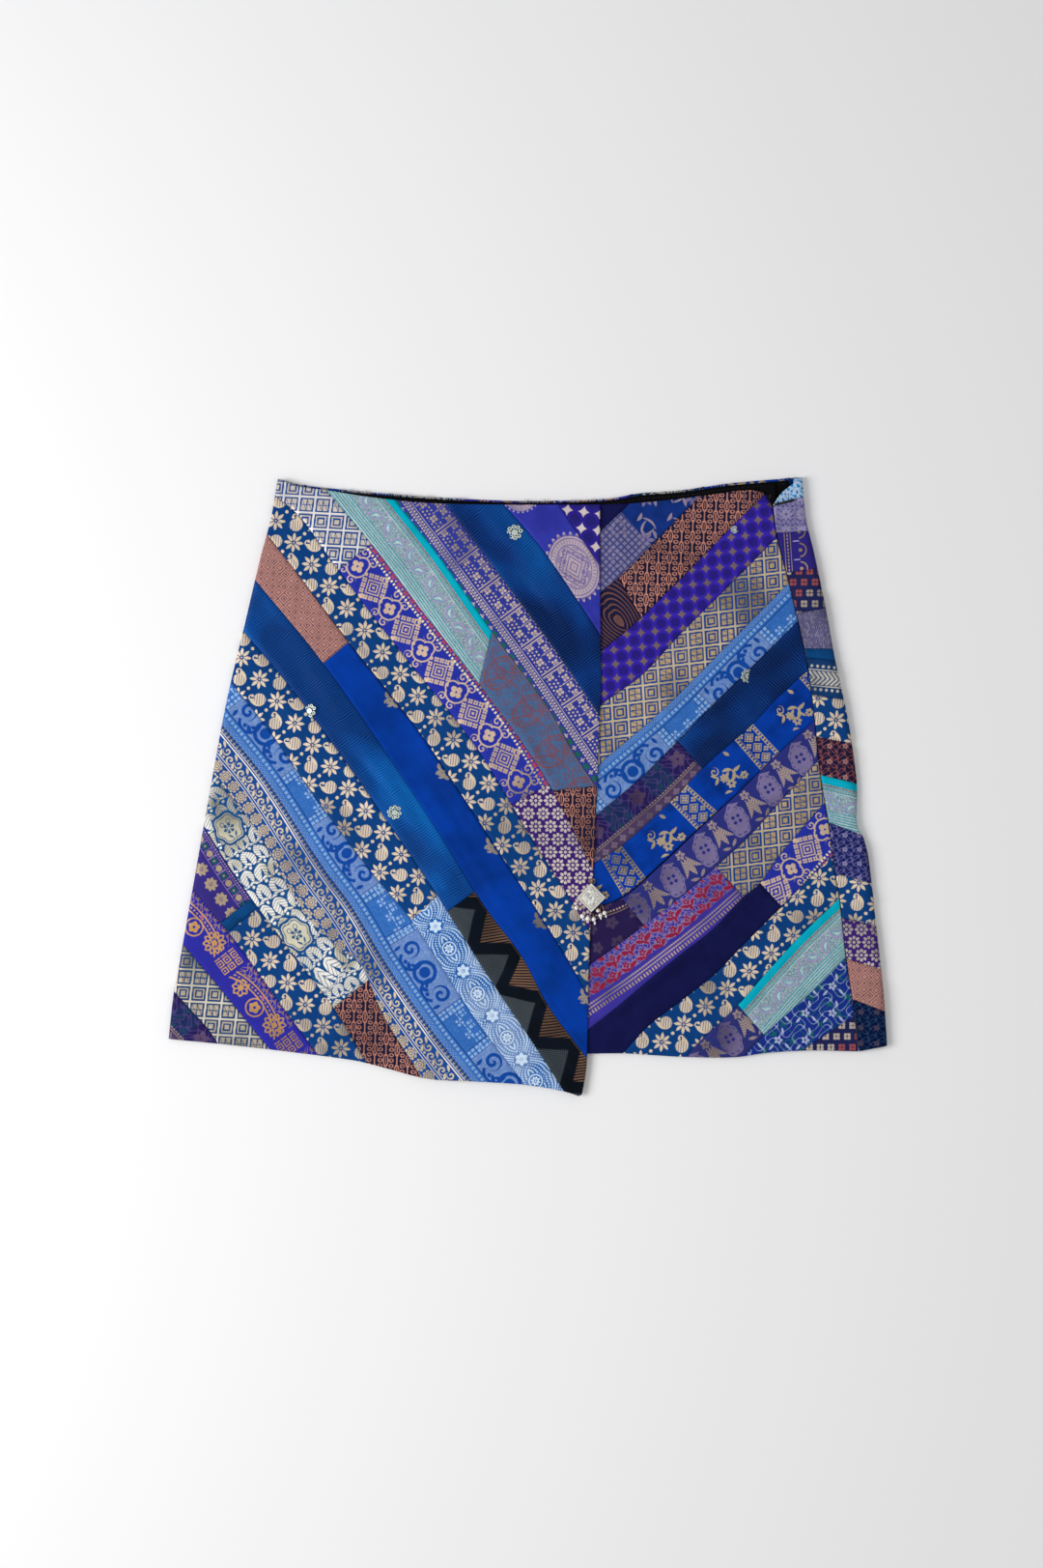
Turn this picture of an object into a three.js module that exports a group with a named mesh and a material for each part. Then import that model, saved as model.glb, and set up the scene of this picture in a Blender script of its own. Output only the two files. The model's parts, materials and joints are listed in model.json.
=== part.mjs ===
// Patchwork wrap mini skirt, laid flat with its front up: millimetres, +Z up, waist towards +Y
import * as THREE from 'three';
import { mergeVertices } from 'three/addons/utils/BufferGeometryUtils.js';

// Driving dimensions
const skirtHeight = 436; // from the top of the waist to the tip of the pointed hem
const clothThickness = 1.3;
const facingThickness = 1.0;
const seamGap = 0.3;
const layerGap = 0.3;
const facingDepth = 32;
const leftRollReturn = 6; // width of the front cloth that turns under at the left edge
const rightFoldHeight = 5.8;
const placketOpening = 6; // gap between the front and the side return at the waist
const placketFrom = 10.9;
const placketDepth = 9.5;
const placketWidth = 11;
const placketLength = 24;
const hookWire = 0.8;
const threadThickness = 1.2;
const broochSide = 14.6;
const broochPlate = 1.2;
const broochStep = 0.9;

// Colours of the plain sub-parts
const clothColour = 0x1d3f92;
const underColour = 0x2b3f98;
const backColour = 0x26357f;
const blackColour = 0x0b0b0d;
const silverColour = 0xc9c6c0;
const crystalColour = 0xf1f3f2;

// Sections down the skirt: distance down from the waist top, and the place of each edge across
const leftEdge = [
  { down: 1.4, x: -175.8 },
  { down: 59.8, x: -188.7 },
  { down: 108.8, x: -200.3 },
  { down: 157.8, x: -211.8 },
  { down: 227.8, x: -224.7 },
  { down: 289.0, x: -235.6 },
  { down: 342.7, x: -245.1 },
  { down: 395.1, x: -252.6 },
];
const rightFold = [
  { down: 0.4, x: 192.8 },
  { down: 29.9, x: 195.8 },
  { down: 55.1, x: 201.4 },
  { down: 93.8, x: 209.8 },
  { down: 130.6, x: 216.6 },
  { down: 168.6, x: 224.6 },
  { down: 210.8, x: 230.0 },
  { down: 243.5, x: 231.4 },
  { down: 258.0, x: 237.6 },
  { down: 284.0, x: 241.0 },
  { down: 316.9, x: 245.1 },
  { down: 359.7, x: 249.9 },
  { down: 400.2, x: 252.6 },
];
const sideSeam = [
  { down: 10.9, x: 171.7 },
  { down: 20.4, x: 171.9 },
  { down: 66.0, x: 181.2 },
  { down: 129.9, x: 196.2 },
  { down: 188.4, x: 203.0 },
  { down: 229.8, x: 208.4 },
  { down: 278.8, x: 215.9 },
  { down: 335.9, x: 223.4 },
  { down: 404.1, x: 232.9 },
];
const overlapEdge = [
  { down: 19.7, x: 50.7 },
  { down: 140.1, x: 51.7 },
  { down: 236.6, x: 47.9 },
  { down: 282.2, x: 45.9 },
  { down: 338.6, x: 43.2 },
  { down: 406.0, x: 41.8 },
  { down: 421.0, x: 40.5 },
  { down: skirtHeight, x: 37.7 },
];
const hiddenEdge = [
  { down: 19.4, x: -36.0 },
  { down: 404.0, x: -44.0 },
];

// Edges that run across the skirt: place across, and distance down
const backWaist = [
  { x: -175.8, down: 1.2 },
  { x: -160.1, down: 5.4 },
  { x: -130.9, down: 8.8 },
  { x: -94.2, down: 12.2 },
  { x: -41.8, down: 15.6 },
  { x: 2.4, down: 17.0 },
  { x: 56.8, down: 15.4 },
  { x: 77.9, down: 11.6 },
  { x: 107.1, down: 9.5 },
  { x: 143.1, down: 4.5 },
  { x: 192.8, down: 0.4 },
];
const frontWaist = [
  { x: -175.8, down: 1.4 },
  { x: -160.1, down: 6.8 },
  { x: -140.4, down: 9.5 },
  { x: -115.3, down: 13.6 },
  { x: -79.2, down: 17.7 },
  { x: -57.5, down: 19.0 },
  { x: -16.7, down: 19.7 },
  { x: 50.7, down: 19.7 },
  { x: 77.9, down: 18.4 },
  { x: 121.4, down: 13.6 },
  { x: 143.1, down: 10.6 },
  { x: 160.0, down: 8.8 },
  { x: 165.9, down: 11.6 },
];
const returnWaist = [
  { x: 171.7, down: 10.9 },
  { x: 177.8, down: 5.4 },
  { x: 192.8, down: 0.4 },
];
const overHem = [
  { x: -252.6, down: 395.1 },
  { x: -181.2, down: 402.6 },
  { x: -123.4, down: 410.0 },
  { x: -105.7, down: 414.1 },
  { x: -71.1, down: 423.0 },
  { x: -36.4, down: 425.0 },
  { x: -4.4, down: 427.0 },
  { x: 24.8, down: 431.8 },
  { x: 37.7, down: skirtHeight },
];
const underHem = [
  { x: -44.0, down: 404.0 },
  { x: 42.5, down: 405.7 },
  { x: 111.2, down: 407.8 },
  { x: 145.2, down: 408.0 },
  { x: 168.3, down: 404.9 },
  { x: 198.9, down: 403.2 },
  { x: 232.9, down: 404.1 },
];
const returnHem = [
  { x: 232.9, down: 404.1 },
  { x: 252.6, down: 400.2 },
];
const backHem = [
  { x: -252.6, down: 394.0 },
  { x: -100.0, down: 401.0 },
  { x: 60.0, down: 404.0 },
  { x: 252.6, down: 400.2 },
];

// The largest soft swells of the front cloth: centre, half sizes along and across, turn and height
const swells = [
  { x: -150, down: 95, along: 60, across: 18, turn: -55, height: 1.3 },
  { x: -118, down: 205, along: 75, across: 20, turn: -56, height: 1.5 },
  { x: -205, down: 250, along: 55, across: 16, turn: -58, height: 1.1 },
  { x: -60, down: 300, along: 70, across: 22, turn: -54, height: 1.6 },
  { x: -150, down: 345, along: 60, across: 18, turn: -52, height: 1.2 },
  { x: 5, down: 150, along: 60, across: 20, turn: -56, height: 1.2 },
  { x: 110, down: 150, along: 60, across: 20, turn: 42, height: 1.6 },
  { x: 150, down: 255, along: 65, across: 20, turn: 42, height: 1.7 },
  { x: 105, down: 340, along: 55, across: 18, turn: 40, height: 1.4 },
  { x: 185, down: 365, along: 45, across: 18, turn: 38, height: 1.3 },
  { x: 168.6, down: 18, along: 27, across: 27, turn: 0, height: 2.4 },
];

// Smooth steps and curves
const smooth = (t) => {
  const s = Math.min(1, Math.max(0, t));
  return s * s * (3 - 2 * s);
};

// Value of a monotone cubic through rows of a table, so that no edge swings past its rows
function curveAt(table, along, value, place) {
  const last = table.length - 1;
  const slope = (i) => (table[i + 1][value] - table[i][value]) / (table[i + 1][along] - table[i][along]);
  const tangent = (i) => {
    if (i === 0) return slope(0);
    if (i === last) return slope(last - 1);
    const before = slope(i - 1);
    const after = slope(i);
    return before * after <= 0 ? 0 : (2 * before * after) / (before + after);
  };
  let i = 0;
  while (i < last - 1 && place > table[i + 1][along]) i += 1;
  const span = table[i + 1][along] - table[i][along];
  const t = Math.min(1, Math.max(0, (place - table[i][along]) / span));
  const h00 = (1 + 2 * t) * (1 - t) ** 2;
  const h10 = t * (1 - t) ** 2;
  const h01 = t * t * (3 - 2 * t);
  const h11 = t * t * (t - 1);
  return h00 * table[i][value] + h10 * span * tangent(i) + h01 * table[i + 1][value]
    + h11 * span * tangent(i + 1);
}
const acrossAt = (table, down) => curveAt(table, 'down', 'x', down);
const downAt = (table, x) => curveAt(table, 'x', 'down', x);

// Each long edge of a panel as a function of the distance down
const edgeOf = (table, shift) => (down) => acrossAt(table, down) + shift;
const seamEdge = (shift) => edgeOf(sideSeam, shift);

// The right edge of the under panel stands away from the side seam at the waist
const placketEdge = (down) => acrossAt(sideSeam, down) - seamGap / 2
  - placketOpening * (1 - smooth((down - placketFrom) / placketDepth));

// A point of a flat panel, spread evenly between its four edges
function patchPoint(edges, u, v) {
  const { top, bottom, left, right, leftEnds, rightEnds } = edges;
  const onRow = (table, start, end) => {
    const x = start + (end - start) * u;
    return { x, down: downAt(table, x) };
  };
  const corner = (table, x) => ({ x, down: downAt(table, x) });
  const topLeft = corner(top, left(leftEnds[0]));
  const topRight = corner(top, right(rightEnds[0]));
  const bottomLeft = corner(bottom, left(leftEnds[1]));
  const bottomRight = corner(bottom, right(rightEnds[1]));
  const topPoint = onRow(top, topLeft.x, topRight.x);
  const bottomPoint = onRow(bottom, bottomLeft.x, bottomRight.x);
  const leftDown = topLeft.down + (bottomLeft.down - topLeft.down) * v;
  const rightDown = topRight.down + (bottomRight.down - topRight.down) * v;
  const leftPoint = { x: left(leftDown), down: leftDown };
  const rightPoint = { x: right(rightDown), down: rightDown };
  const blend = (key) => (1 - v) * topPoint[key] + v * bottomPoint[key]
    + (1 - u) * leftPoint[key] + u * rightPoint[key]
    - (1 - u) * (1 - v) * topLeft[key] - u * (1 - v) * topRight[key]
    - (1 - u) * v * bottomLeft[key] - u * v * bottomRight[key];
  return { x: blend('x'), down: blend('down') };
}

// Height of the underside of the front cloth over the back cloth, its facing and the swells
function clothRest(x, down) {
  const overFacing = (facingThickness + layerGap) * (1 - smooth((down - 54) / 30));
  let height = clothThickness + layerGap + overFacing;
  for (const swell of swells) {
    const turn = THREE.MathUtils.degToRad(swell.turn);
    const dx = x - swell.x;
    const dy = swell.down - down;
    const lengthways = (dx * Math.cos(turn) + dy * Math.sin(turn)) / swell.along;
    const sideways = (-dx * Math.sin(turn) + dy * Math.cos(turn)) / swell.across;
    height += swell.height * Math.exp(-(lengthways ** 2 + sideways ** 2));
  }
  const fromLeft = (x - acrossAt(leftEdge, down)) / 22;
  return height + 0.9 * Math.exp(-fromLeft * fromLeft);
}

// The over panel climbs onto the hidden edge of the under panel
function overRest(x, down) {
  const toHidden = x - acrossAt(hiddenEdge, down);
  const climb = clothThickness + layerGap + 0.15;
  return clothRest(x, down) + climb * smooth((toHidden + 44) / 26);
}

// The side return lofts from the side seam up to the right fold
function returnRest(x, down) {
  const seam = acrossAt(sideSeam, down);
  const fold = acrossAt(rightFold, down);
  const share = smooth((x - seam) / (fold - rightFoldHeight / 2 - seam));
  return (1 - share) * clothRest(x, down) + share * (rightFoldHeight - clothThickness);
}

const place = (x, down, z) => new THREE.Vector3(x, skirtHeight / 2 - down, z);

// Closed wall between an outer and an inner grid of points, rows running from waist to hem
function wallGeometry(outer, inner) {
  const rows = outer.length;
  const columns = outer[0].length;
  const positions = [];
  const index = [];
  for (const grid of [outer, inner]) {
    for (const row of grid) for (const p of row) positions.push(p.x, p.y, p.z);
  }
  const outerAt = (r, c) => r * columns + c;
  const innerAt = (r, c) => rows * columns + r * columns + c;
  for (let r = 0; r < rows - 1; r += 1) {
    for (let c = 0; c < columns - 1; c += 1) {
      index.push(outerAt(r, c), outerAt(r + 1, c), outerAt(r + 1, c + 1));
      index.push(outerAt(r, c), outerAt(r + 1, c + 1), outerAt(r, c + 1));
      index.push(innerAt(r, c), innerAt(r + 1, c + 1), innerAt(r + 1, c));
      index.push(innerAt(r, c), innerAt(r, c + 1), innerAt(r + 1, c + 1));
    }
  }
  const rim = [];
  for (let c = 0; c < columns; c += 1) rim.push([0, c]);
  for (let r = 1; r < rows; r += 1) rim.push([r, columns - 1]);
  for (let c = columns - 2; c >= 0; c -= 1) rim.push([rows - 1, c]);
  for (let r = rows - 2; r > 0; r -= 1) rim.push([r, 0]);
  rim.forEach((from, i) => {
    const to = rim[(i + 1) % rim.length];
    index.push(outerAt(...from), outerAt(...to), innerAt(...to));
    index.push(outerAt(...from), innerAt(...to), innerAt(...from));
  });
  const geometry = new THREE.BufferGeometry();
  geometry.setAttribute('position', new THREE.Float32BufferAttribute(positions, 3));
  geometry.setIndex(index);
  geometry.computeVertexNormals();
  return geometry;
}

// Column of a wall: a centre point and the direction of its outer side in the X-Z plane
function wallFromCentres(rows, thickness) {
  const offset = (column, side) => place(
    column.x + side * column.outX * thickness / 2,
    column.down,
    column.z + side * column.outZ * thickness / 2,
  );
  const outer = rows.map((row) => row.map((column) => offset(column, 1)));
  const inner = rows.map((row) => row.map((column) => offset(column, -1)));
  return wallGeometry(outer, inner);
}

// Flat run of a panel, its underside at the height that rest gives
function flatRun(edges, u, v, rest) {
  const p = patchPoint(edges, u, v);
  return { ...p, z: rest(p.x, p.down) + clothThickness / 2, outX: 0, outZ: 1 };
}

// Half turn of cloth round a fold, from startAngle to endAngle in the X-Z plane
function foldTurn(x, down, height, startAngle, endAngle, steps) {
  const radius = height / 2;
  const columns = [];
  for (let i = 1; i < steps; i += 1) {
    const angle = startAngle + ((endAngle - startAngle) * i) / steps;
    const outX = Math.cos(angle);
    const outZ = Math.sin(angle);
    const reach = radius - clothThickness / 2;
    columns.push({ x: x + outX * reach, down, z: radius + outZ * reach, outX, outZ });
  }
  return columns;
}

const leftTurnInset = 2.2; // from the laid edge to the centre of its roll
const endsOf = (table) => [table[0].down, table[table.length - 1].down];
const overEdges = {
  top: frontWaist,
  bottom: overHem,
  left: edgeOf(leftEdge, leftTurnInset),
  right: edgeOf(overlapEdge, 0),
  leftEnds: endsOf(leftEdge),
  rightEnds: endsOf(overlapEdge),
};
const underEdges = {
  top: frontWaist,
  bottom: underHem,
  left: edgeOf(hiddenEdge, 0),
  right: placketEdge,
  leftEnds: endsOf(hiddenEdge),
  rightEnds: endsOf(sideSeam),
};
const returnEdges = {
  top: returnWaist,
  bottom: returnHem,
  left: seamEdge(seamGap / 2),
  right: edgeOf(rightFold, -rightFoldHeight / 2),
  leftEnds: endsOf(sideSeam),
  rightEnds: endsOf(rightFold),
};
const floorEdges = {
  top: backWaist,
  bottom: backHem,
  left: edgeOf(leftEdge, leftTurnInset + leftRollReturn + seamGap),
  right: edgeOf(rightFold, -rightFoldHeight / 2),
  leftEnds: endsOf(leftEdge),
  rightEnds: endsOf(rightFold),
};

const rowCount = 28; // rows of each panel from waist to hem

// Front over panel: rolls under at the left edge, where it is seamed to the back
function overPanel() {
  const columnCount = 24;
  const rows = [];
  for (let r = 0; r <= rowCount; r += 1) {
    const v = r / rowCount;
    const first = flatRun(overEdges, 0, v, overRest);
    const height = first.z + clothThickness / 2;
    const row = [];
    const floorStart = first.x + leftRollReturn;
    row.push({ x: floorStart, down: first.down, z: clothThickness / 2, outX: 0, outZ: -1 });
    row.push({ x: first.x, down: first.down, z: clothThickness / 2, outX: 0, outZ: -1 });
    row.push(...foldTurn(first.x, first.down, height, -Math.PI / 2, -1.5 * Math.PI, 5));
    for (let c = 0; c <= columnCount; c += 1) row.push(flatRun(overEdges, c / columnCount, v, overRest));
    rows.push(row);
  }
  return wallFromCentres(rows, clothThickness);
}

// Front under panel: its left part lies hidden beneath the over panel
function underPanel() {
  const columnCount = 20;
  const rows = [];
  for (let r = 0; r <= rowCount; r += 1) {
    const row = [];
    for (let c = 0; c <= columnCount; c += 1) {
      row.push(flatRun(underEdges, c / columnCount, r / rowCount, clothRest));
    }
    rows.push(row);
  }
  return wallFromCentres(rows, clothThickness);
}

// Back panel: flat on the surface, round the right fold and over the front up to the side seam
function backPanel() {
  const returnColumns = 4;
  const floorColumns = 22;
  const rows = [];
  for (let r = 0; r <= rowCount; r += 1) {
    const v = r / rowCount;
    const row = [];
    for (let c = 0; c <= returnColumns; c += 1) {
      row.push(flatRun(returnEdges, c / returnColumns, v, returnRest));
    }
    const turn = row[row.length - 1];
    row.push(...foldTurn(turn.x, turn.down, rightFoldHeight, Math.PI / 2, -Math.PI / 2, 6));
    for (let c = floorColumns; c >= 0; c -= 1) {
      const p = patchPoint(floorEdges, c / floorColumns, v);
      row.push({ ...p, z: clothThickness / 2, outX: 0, outZ: -1 });
    }
    rows.push(row);
  }
  return wallFromCentres(rows, clothThickness);
}

// Black band inside the back of the waist
function backFacing() {
  const columnCount = 30;
  const bandRows = 3;
  const start = leftEdge[0].x + leftRollReturn + 4;
  const end = rightFold[0].x - rightFoldHeight - 3;
  const rows = [];
  for (let r = 0; r <= bandRows; r += 1) {
    const row = [];
    for (let c = 0; c <= columnCount; c += 1) {
      const x = start + ((end - start) * c) / columnCount;
      const down = downAt(backWaist, x) + 1.1 + (facingDepth * r) / bandRows;
      const z = clothThickness + layerGap + facingThickness / 2;
      row.push({ x, down, z, outX: 0, outZ: 1 });
    }
    rows.push(row);
  }
  return wallFromCentres(rows, facingThickness);
}

// Black tape that fills the opening at the top of the side seam
const placketX = sideSeam[0].x - placketOpening / 2;
const placketTop = 5.2;
const facingTop = clothThickness + layerGap + facingThickness;
function placketTape() {
  const geometry = new THREE.BoxGeometry(placketWidth, placketLength, facingThickness);
  const z = facingTop + layerGap + facingThickness / 2;
  geometry.translate(placketX, skirtHeight / 2 - placketTop - placketLength / 2, z);
  return geometry;
}

// Round wire or thread along points
function wireGeometry(points, thickness, steps) {
  const path = new THREE.CatmullRomCurve3(points);
  const section = new THREE.Shape();
  const sides = 8;
  for (let i = 0; i < sides; i += 1) {
    const angle = (i / sides) * 2 * Math.PI;
    const x = (Math.cos(angle) * thickness) / 2;
    const y = (Math.sin(angle) * thickness) / 2;
    if (i === 0) section.moveTo(x, y);
    else section.lineTo(x, y);
  }
  return new THREE.ExtrudeGeometry(section, { steps, extrudePath: path, bevelEnabled: false });
}

// Hook of bent wire on the placket tape, below the waist edge
const placketSurface = facingTop + layerGap + facingThickness;
function waistHook() {
  const z = placketSurface + layerGap + hookWire / 2;
  const points = [
    place(placketX - 1.3, 13.0, z),
    place(placketX - 1.3, 16.6, z),
    place(placketX, 18.3, z),
    place(placketX + 1.3, 16.6, z),
    place(placketX + 1.3, 13.0, z),
  ];
  return wireGeometry(points, hookWire, 18);
}

// Black thread loop that lies over the top of the side return
function threadLoop() {
  const start = { x: 173.4, down: 19.9 };
  const end = { x: 186.6, down: 16.4 };
  const points = [];
  const pointCount = 6;
  for (let i = 0; i < pointCount; i += 1) {
    const share = i / (pointCount - 1);
    const x = start.x + (end.x - start.x) * share;
    const down = start.down + (end.down - start.down) * share + 0.5 * Math.sin(share * Math.PI);
    const surface = returnRest(x, down) + clothThickness;
    points.push(place(x, down, surface + layerGap + 0.1 + threadThickness / 2));
  }
  return wireGeometry(points, threadThickness, 14);
}

// Diamond brooch pinned over the overlap edge
const brooch = { x: 44.6, down: 295.7 };
const broochRest = overRest(brooch.x, brooch.down) + clothThickness + layerGap + 0.2;

function squareOutline(side) {
  const half = side / 2;
  return [[-half, -half], [half, -half], [half, half], [-half, half]];
}

function squareShape(side) {
  const shape = new THREE.Shape();
  squareOutline(side).forEach(([x, y], i) => (i === 0 ? shape.moveTo(x, y) : shape.lineTo(x, y)));
  shape.closePath();
  return shape;
}

function seatBrooch(geometry, lift) {
  geometry.rotateZ(Math.PI / 4);
  geometry.translate(brooch.x, skirtHeight / 2 - brooch.down, broochRest + lift);
  return geometry;
}

// Stepped square: sections of a pyramid of steps with a sunk seat for the stones
function broochFrame() {
  const steps = [
    { side: broochSide, z: 0 },
    { side: broochSide, z: broochPlate },
    { side: broochSide - 2.6, z: broochPlate },
    { side: broochSide - 2.6, z: broochPlate + broochStep },
    { side: broochSide - 4.6, z: broochPlate + broochStep },
    { side: broochSide - 4.6, z: broochPlate },
  ];
  const positions = [];
  const index = [];
  for (const step of steps) for (const [x, y] of squareOutline(step.side)) positions.push(x, y, step.z);
  for (let s = 0; s < steps.length - 1; s += 1) {
    for (let i = 0; i < 4; i += 1) {
      const a = s * 4 + i;
      const b = s * 4 + ((i + 1) % 4);
      index.push(a, b, b + 4, a, b + 4, a + 4);
    }
  }
  const seat = (steps.length - 1) * 4;
  index.push(0, 2, 1, 0, 3, 2, seat, seat + 1, seat + 2, seat, seat + 2, seat + 3);
  const geometry = new THREE.BufferGeometry();
  geometry.setAttribute('position', new THREE.Float32BufferAttribute(positions, 3));
  geometry.setIndex(index);
  geometry.computeVertexNormals();
  return seatBrooch(geometry, 0);
}

// One of the four faceted stones in the seat
function broochStone(corner) {
  const stoneSide = 4.2;
  const shape = squareShape(stoneSide - 1.2);
  const geometry = new THREE.ExtrudeGeometry(shape, {
    depth: 0.5, bevelEnabled: true, bevelThickness: 0.6, bevelSize: 0.6, bevelSegments: 1,
  });
  const reach = stoneSide / 2 + 0.3;
  const [signX, signY] = squareOutline(2)[corner];
  geometry.translate(signX * reach, signY * reach, 0.6);
  return seatBrooch(geometry, broochPlate + layerGap);
}

function clothMaterial(colour) {
  return new THREE.MeshStandardMaterial({ color: colour, roughness: 0.75, metalness: 0 });
}

function metalMaterial(colour) {
  return new THREE.MeshStandardMaterial({ color: colour, roughness: 0.3, metalness: 0.9 });
}

const skirt = new THREE.Group();

function addPiece(name, geometry, material) {
  for (const key of Object.keys(geometry.attributes)) if (key !== 'position') geometry.deleteAttribute(key);
  const mesh = new THREE.Mesh(mergeVertices(geometry, 1e-4), material);
  mesh.name = name;
  mesh.geometry.computeVertexNormals();
  skirt.add(mesh);
}

addPiece('back_panel', backPanel(), clothMaterial(backColour));
addPiece('front_under_panel', underPanel(), clothMaterial(underColour));
addPiece('front_over_panel', overPanel(), clothMaterial(clothColour));
addPiece('back_facing', backFacing(), clothMaterial(blackColour));
addPiece('placket_tape', placketTape(), clothMaterial(blackColour));
addPiece('waist_hook', waistHook(), metalMaterial(silverColour));
addPiece('thread_loop', threadLoop(), clothMaterial(blackColour));
addPiece('brooch_frame', broochFrame(), metalMaterial(silverColour));
for (let corner = 0; corner < 4; corner += 1) {
  addPiece(`brooch_stone_${corner + 1}`, broochStone(corner), metalMaterial(crystalColour));
}

// The origin is the centre of the laid outline, on the surface
const outline = new THREE.Box3().setFromObject(skirt);
const middle = outline.getCenter(new THREE.Vector3());
skirt.position.set(-middle.x, -middle.y, 0);

export default skirt;
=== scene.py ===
import json
import math
import random
import bpy
import bmesh
import numpy as np
from mathutils import Matrix, Vector, noise
from mathutils.bvhtree import BVHTree

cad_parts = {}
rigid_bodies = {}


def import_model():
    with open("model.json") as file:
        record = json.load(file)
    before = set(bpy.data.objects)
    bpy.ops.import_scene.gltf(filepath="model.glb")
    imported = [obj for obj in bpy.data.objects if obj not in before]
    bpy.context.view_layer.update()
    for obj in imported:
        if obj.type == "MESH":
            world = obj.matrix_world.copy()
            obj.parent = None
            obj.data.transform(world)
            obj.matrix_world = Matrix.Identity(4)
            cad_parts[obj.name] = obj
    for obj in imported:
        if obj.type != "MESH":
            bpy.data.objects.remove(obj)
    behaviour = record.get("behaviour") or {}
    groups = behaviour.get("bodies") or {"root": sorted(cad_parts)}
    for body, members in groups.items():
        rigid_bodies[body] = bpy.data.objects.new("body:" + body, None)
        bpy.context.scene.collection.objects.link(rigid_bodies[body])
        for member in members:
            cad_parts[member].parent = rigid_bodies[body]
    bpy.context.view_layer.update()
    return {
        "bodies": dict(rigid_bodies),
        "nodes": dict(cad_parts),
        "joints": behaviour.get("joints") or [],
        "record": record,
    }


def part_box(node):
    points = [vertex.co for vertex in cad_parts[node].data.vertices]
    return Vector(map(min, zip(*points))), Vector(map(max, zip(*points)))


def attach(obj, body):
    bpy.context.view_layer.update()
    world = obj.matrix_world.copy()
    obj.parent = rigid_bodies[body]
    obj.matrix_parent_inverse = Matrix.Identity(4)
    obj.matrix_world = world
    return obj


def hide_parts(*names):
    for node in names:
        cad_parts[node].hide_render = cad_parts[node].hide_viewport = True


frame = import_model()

# Patchwork wrap mini skirt laid flat on a pale table, seen from straight above
photo = {
    "metresPerPixel": 0.00068,
    "centreX": 546.8,        # photo pixel of the skirt's middle
    "centreY": 815.0,
    "viewX": 540.0,          # middle of the photo
    "viewY": 811.5,
    "height": 1623,
}
mm = 0.001
scene = bpy.context.scene


def fromPhoto(x, y):
    s = photo["metresPerPixel"]
    return Vector(((x - photo["centreX"]) * s, (photo["centreY"] - y) * s))


def smooth(t):
    t = min(1.0, max(0.0, t))
    return t * t * (3 - 2 * t)


# Camera, table and light
camera = {"above": 2.2, "sensor": 36.0}
viewMiddle = fromPhoto(photo["viewX"], photo["viewY"])
cameraData = bpy.data.cameras.new("overhead")
cameraData.sensor_width = camera["sensor"]
cameraData.lens = camera["sensor"] * camera["above"] / (photo["height"] * photo["metresPerPixel"])
cameraObject = bpy.data.objects.new("overhead", cameraData)
cameraObject.location = (viewMiddle.x, viewMiddle.y, camera["above"])
scene.collection.objects.link(cameraObject)
scene.camera = cameraObject
scene.view_settings.view_transform = "Standard"
scene.view_settings.look = "None"

light = {
    "sky": 0.50,
    "windowPower": 27.0, "windowSize": 1.0, "windowAt": (-1.42, -0.12, 1.2),
    "fillPower": 3.0, "fillSize": 1.6, "fillAt": (1.3, -0.9, 1.7),
}


def addWindow(name, place, size, power):
    lampData = bpy.data.lights.new(name, "AREA")
    lampData.size = size
    lampData.energy = power
    lamp = bpy.data.objects.new(name, lampData)
    lamp.location = place
    lamp.rotation_euler = (-Vector(place)).to_track_quat("-Z", "Y").to_euler()
    scene.collection.objects.link(lamp)


addWindow("window", light["windowAt"], light["windowSize"], light["windowPower"])
addWindow("fill", light["fillAt"], light["fillSize"], light["fillPower"])
world = bpy.data.worlds.new("studio")
scene.world = world
world.use_nodes = True
world.node_tree.nodes["Background"].inputs["Color"].default_value = (1.0, 1.0, 1.0, 1.0)
world.node_tree.nodes["Background"].inputs["Strength"].default_value = light["sky"]


# Numbers that a material works out at each point of the cloth
def step(operation, swapped=False):
    if swapped:
        return lambda self, other: calc(operation, other, self)
    return lambda self, other: calc(operation, self, other)


class Num:
    def __init__(self, socket):
        self.socket = socket

    __add__, __radd__ = step("ADD"), step("ADD", swapped=True)
    __sub__, __rsub__ = step("SUBTRACT"), step("SUBTRACT", swapped=True)
    __mul__, __rmul__ = step("MULTIPLY"), step("MULTIPLY", swapped=True)
    __truediv__ = step("DIVIDE")


def feed(tree, value, target):
    if isinstance(value, Num):
        tree.links.new(value.socket, target)
    else:
        target.default_value = value


def calc(operation, *values, clamp=False):
    tree = next(v for v in values if isinstance(v, Num)).socket.id_data
    node = tree.nodes.new("ShaderNodeMath")
    node.operation = operation
    node.use_clamp = clamp
    for value, target in zip(values, node.inputs):
        feed(tree, value, target)
    return Num(node.outputs[0])


def oneStep(operation):
    return lambda *values: calc(operation, *values)


sine, cosine, size = oneStep("SINE"), oneStep("COSINE"), oneStep("ABSOLUTE")
least, most, nearest = oneStep("MINIMUM"), oneStep("MAXIMUM"), oneStep("ROUND")


def radius(x, y):
    return calc("SQRT", x * x + y * y)


def bearing(x, y):
    return calc("ARCTAN2", y, x)


def within(v, limit, soft=0.06):
    return calc("MULTIPLY_ADD", v, -1 / soft, limit / soft + 0.5, clamp=True)


def beyond(v, limit, soft=0.06):
    return calc("MULTIPLY_ADD", v, 1 / soft, 0.5 - limit / soft, clamp=True)


def without(a, b):
    return a * (1 - b)


def repeat(v, period):
    return calc("WRAP", v, period / 2, -period / 2)


def lined(v, pitch, half, soft=0.06):
    return within(size(repeat(v, pitch)), half, soft)    # a line at every pitch


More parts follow.
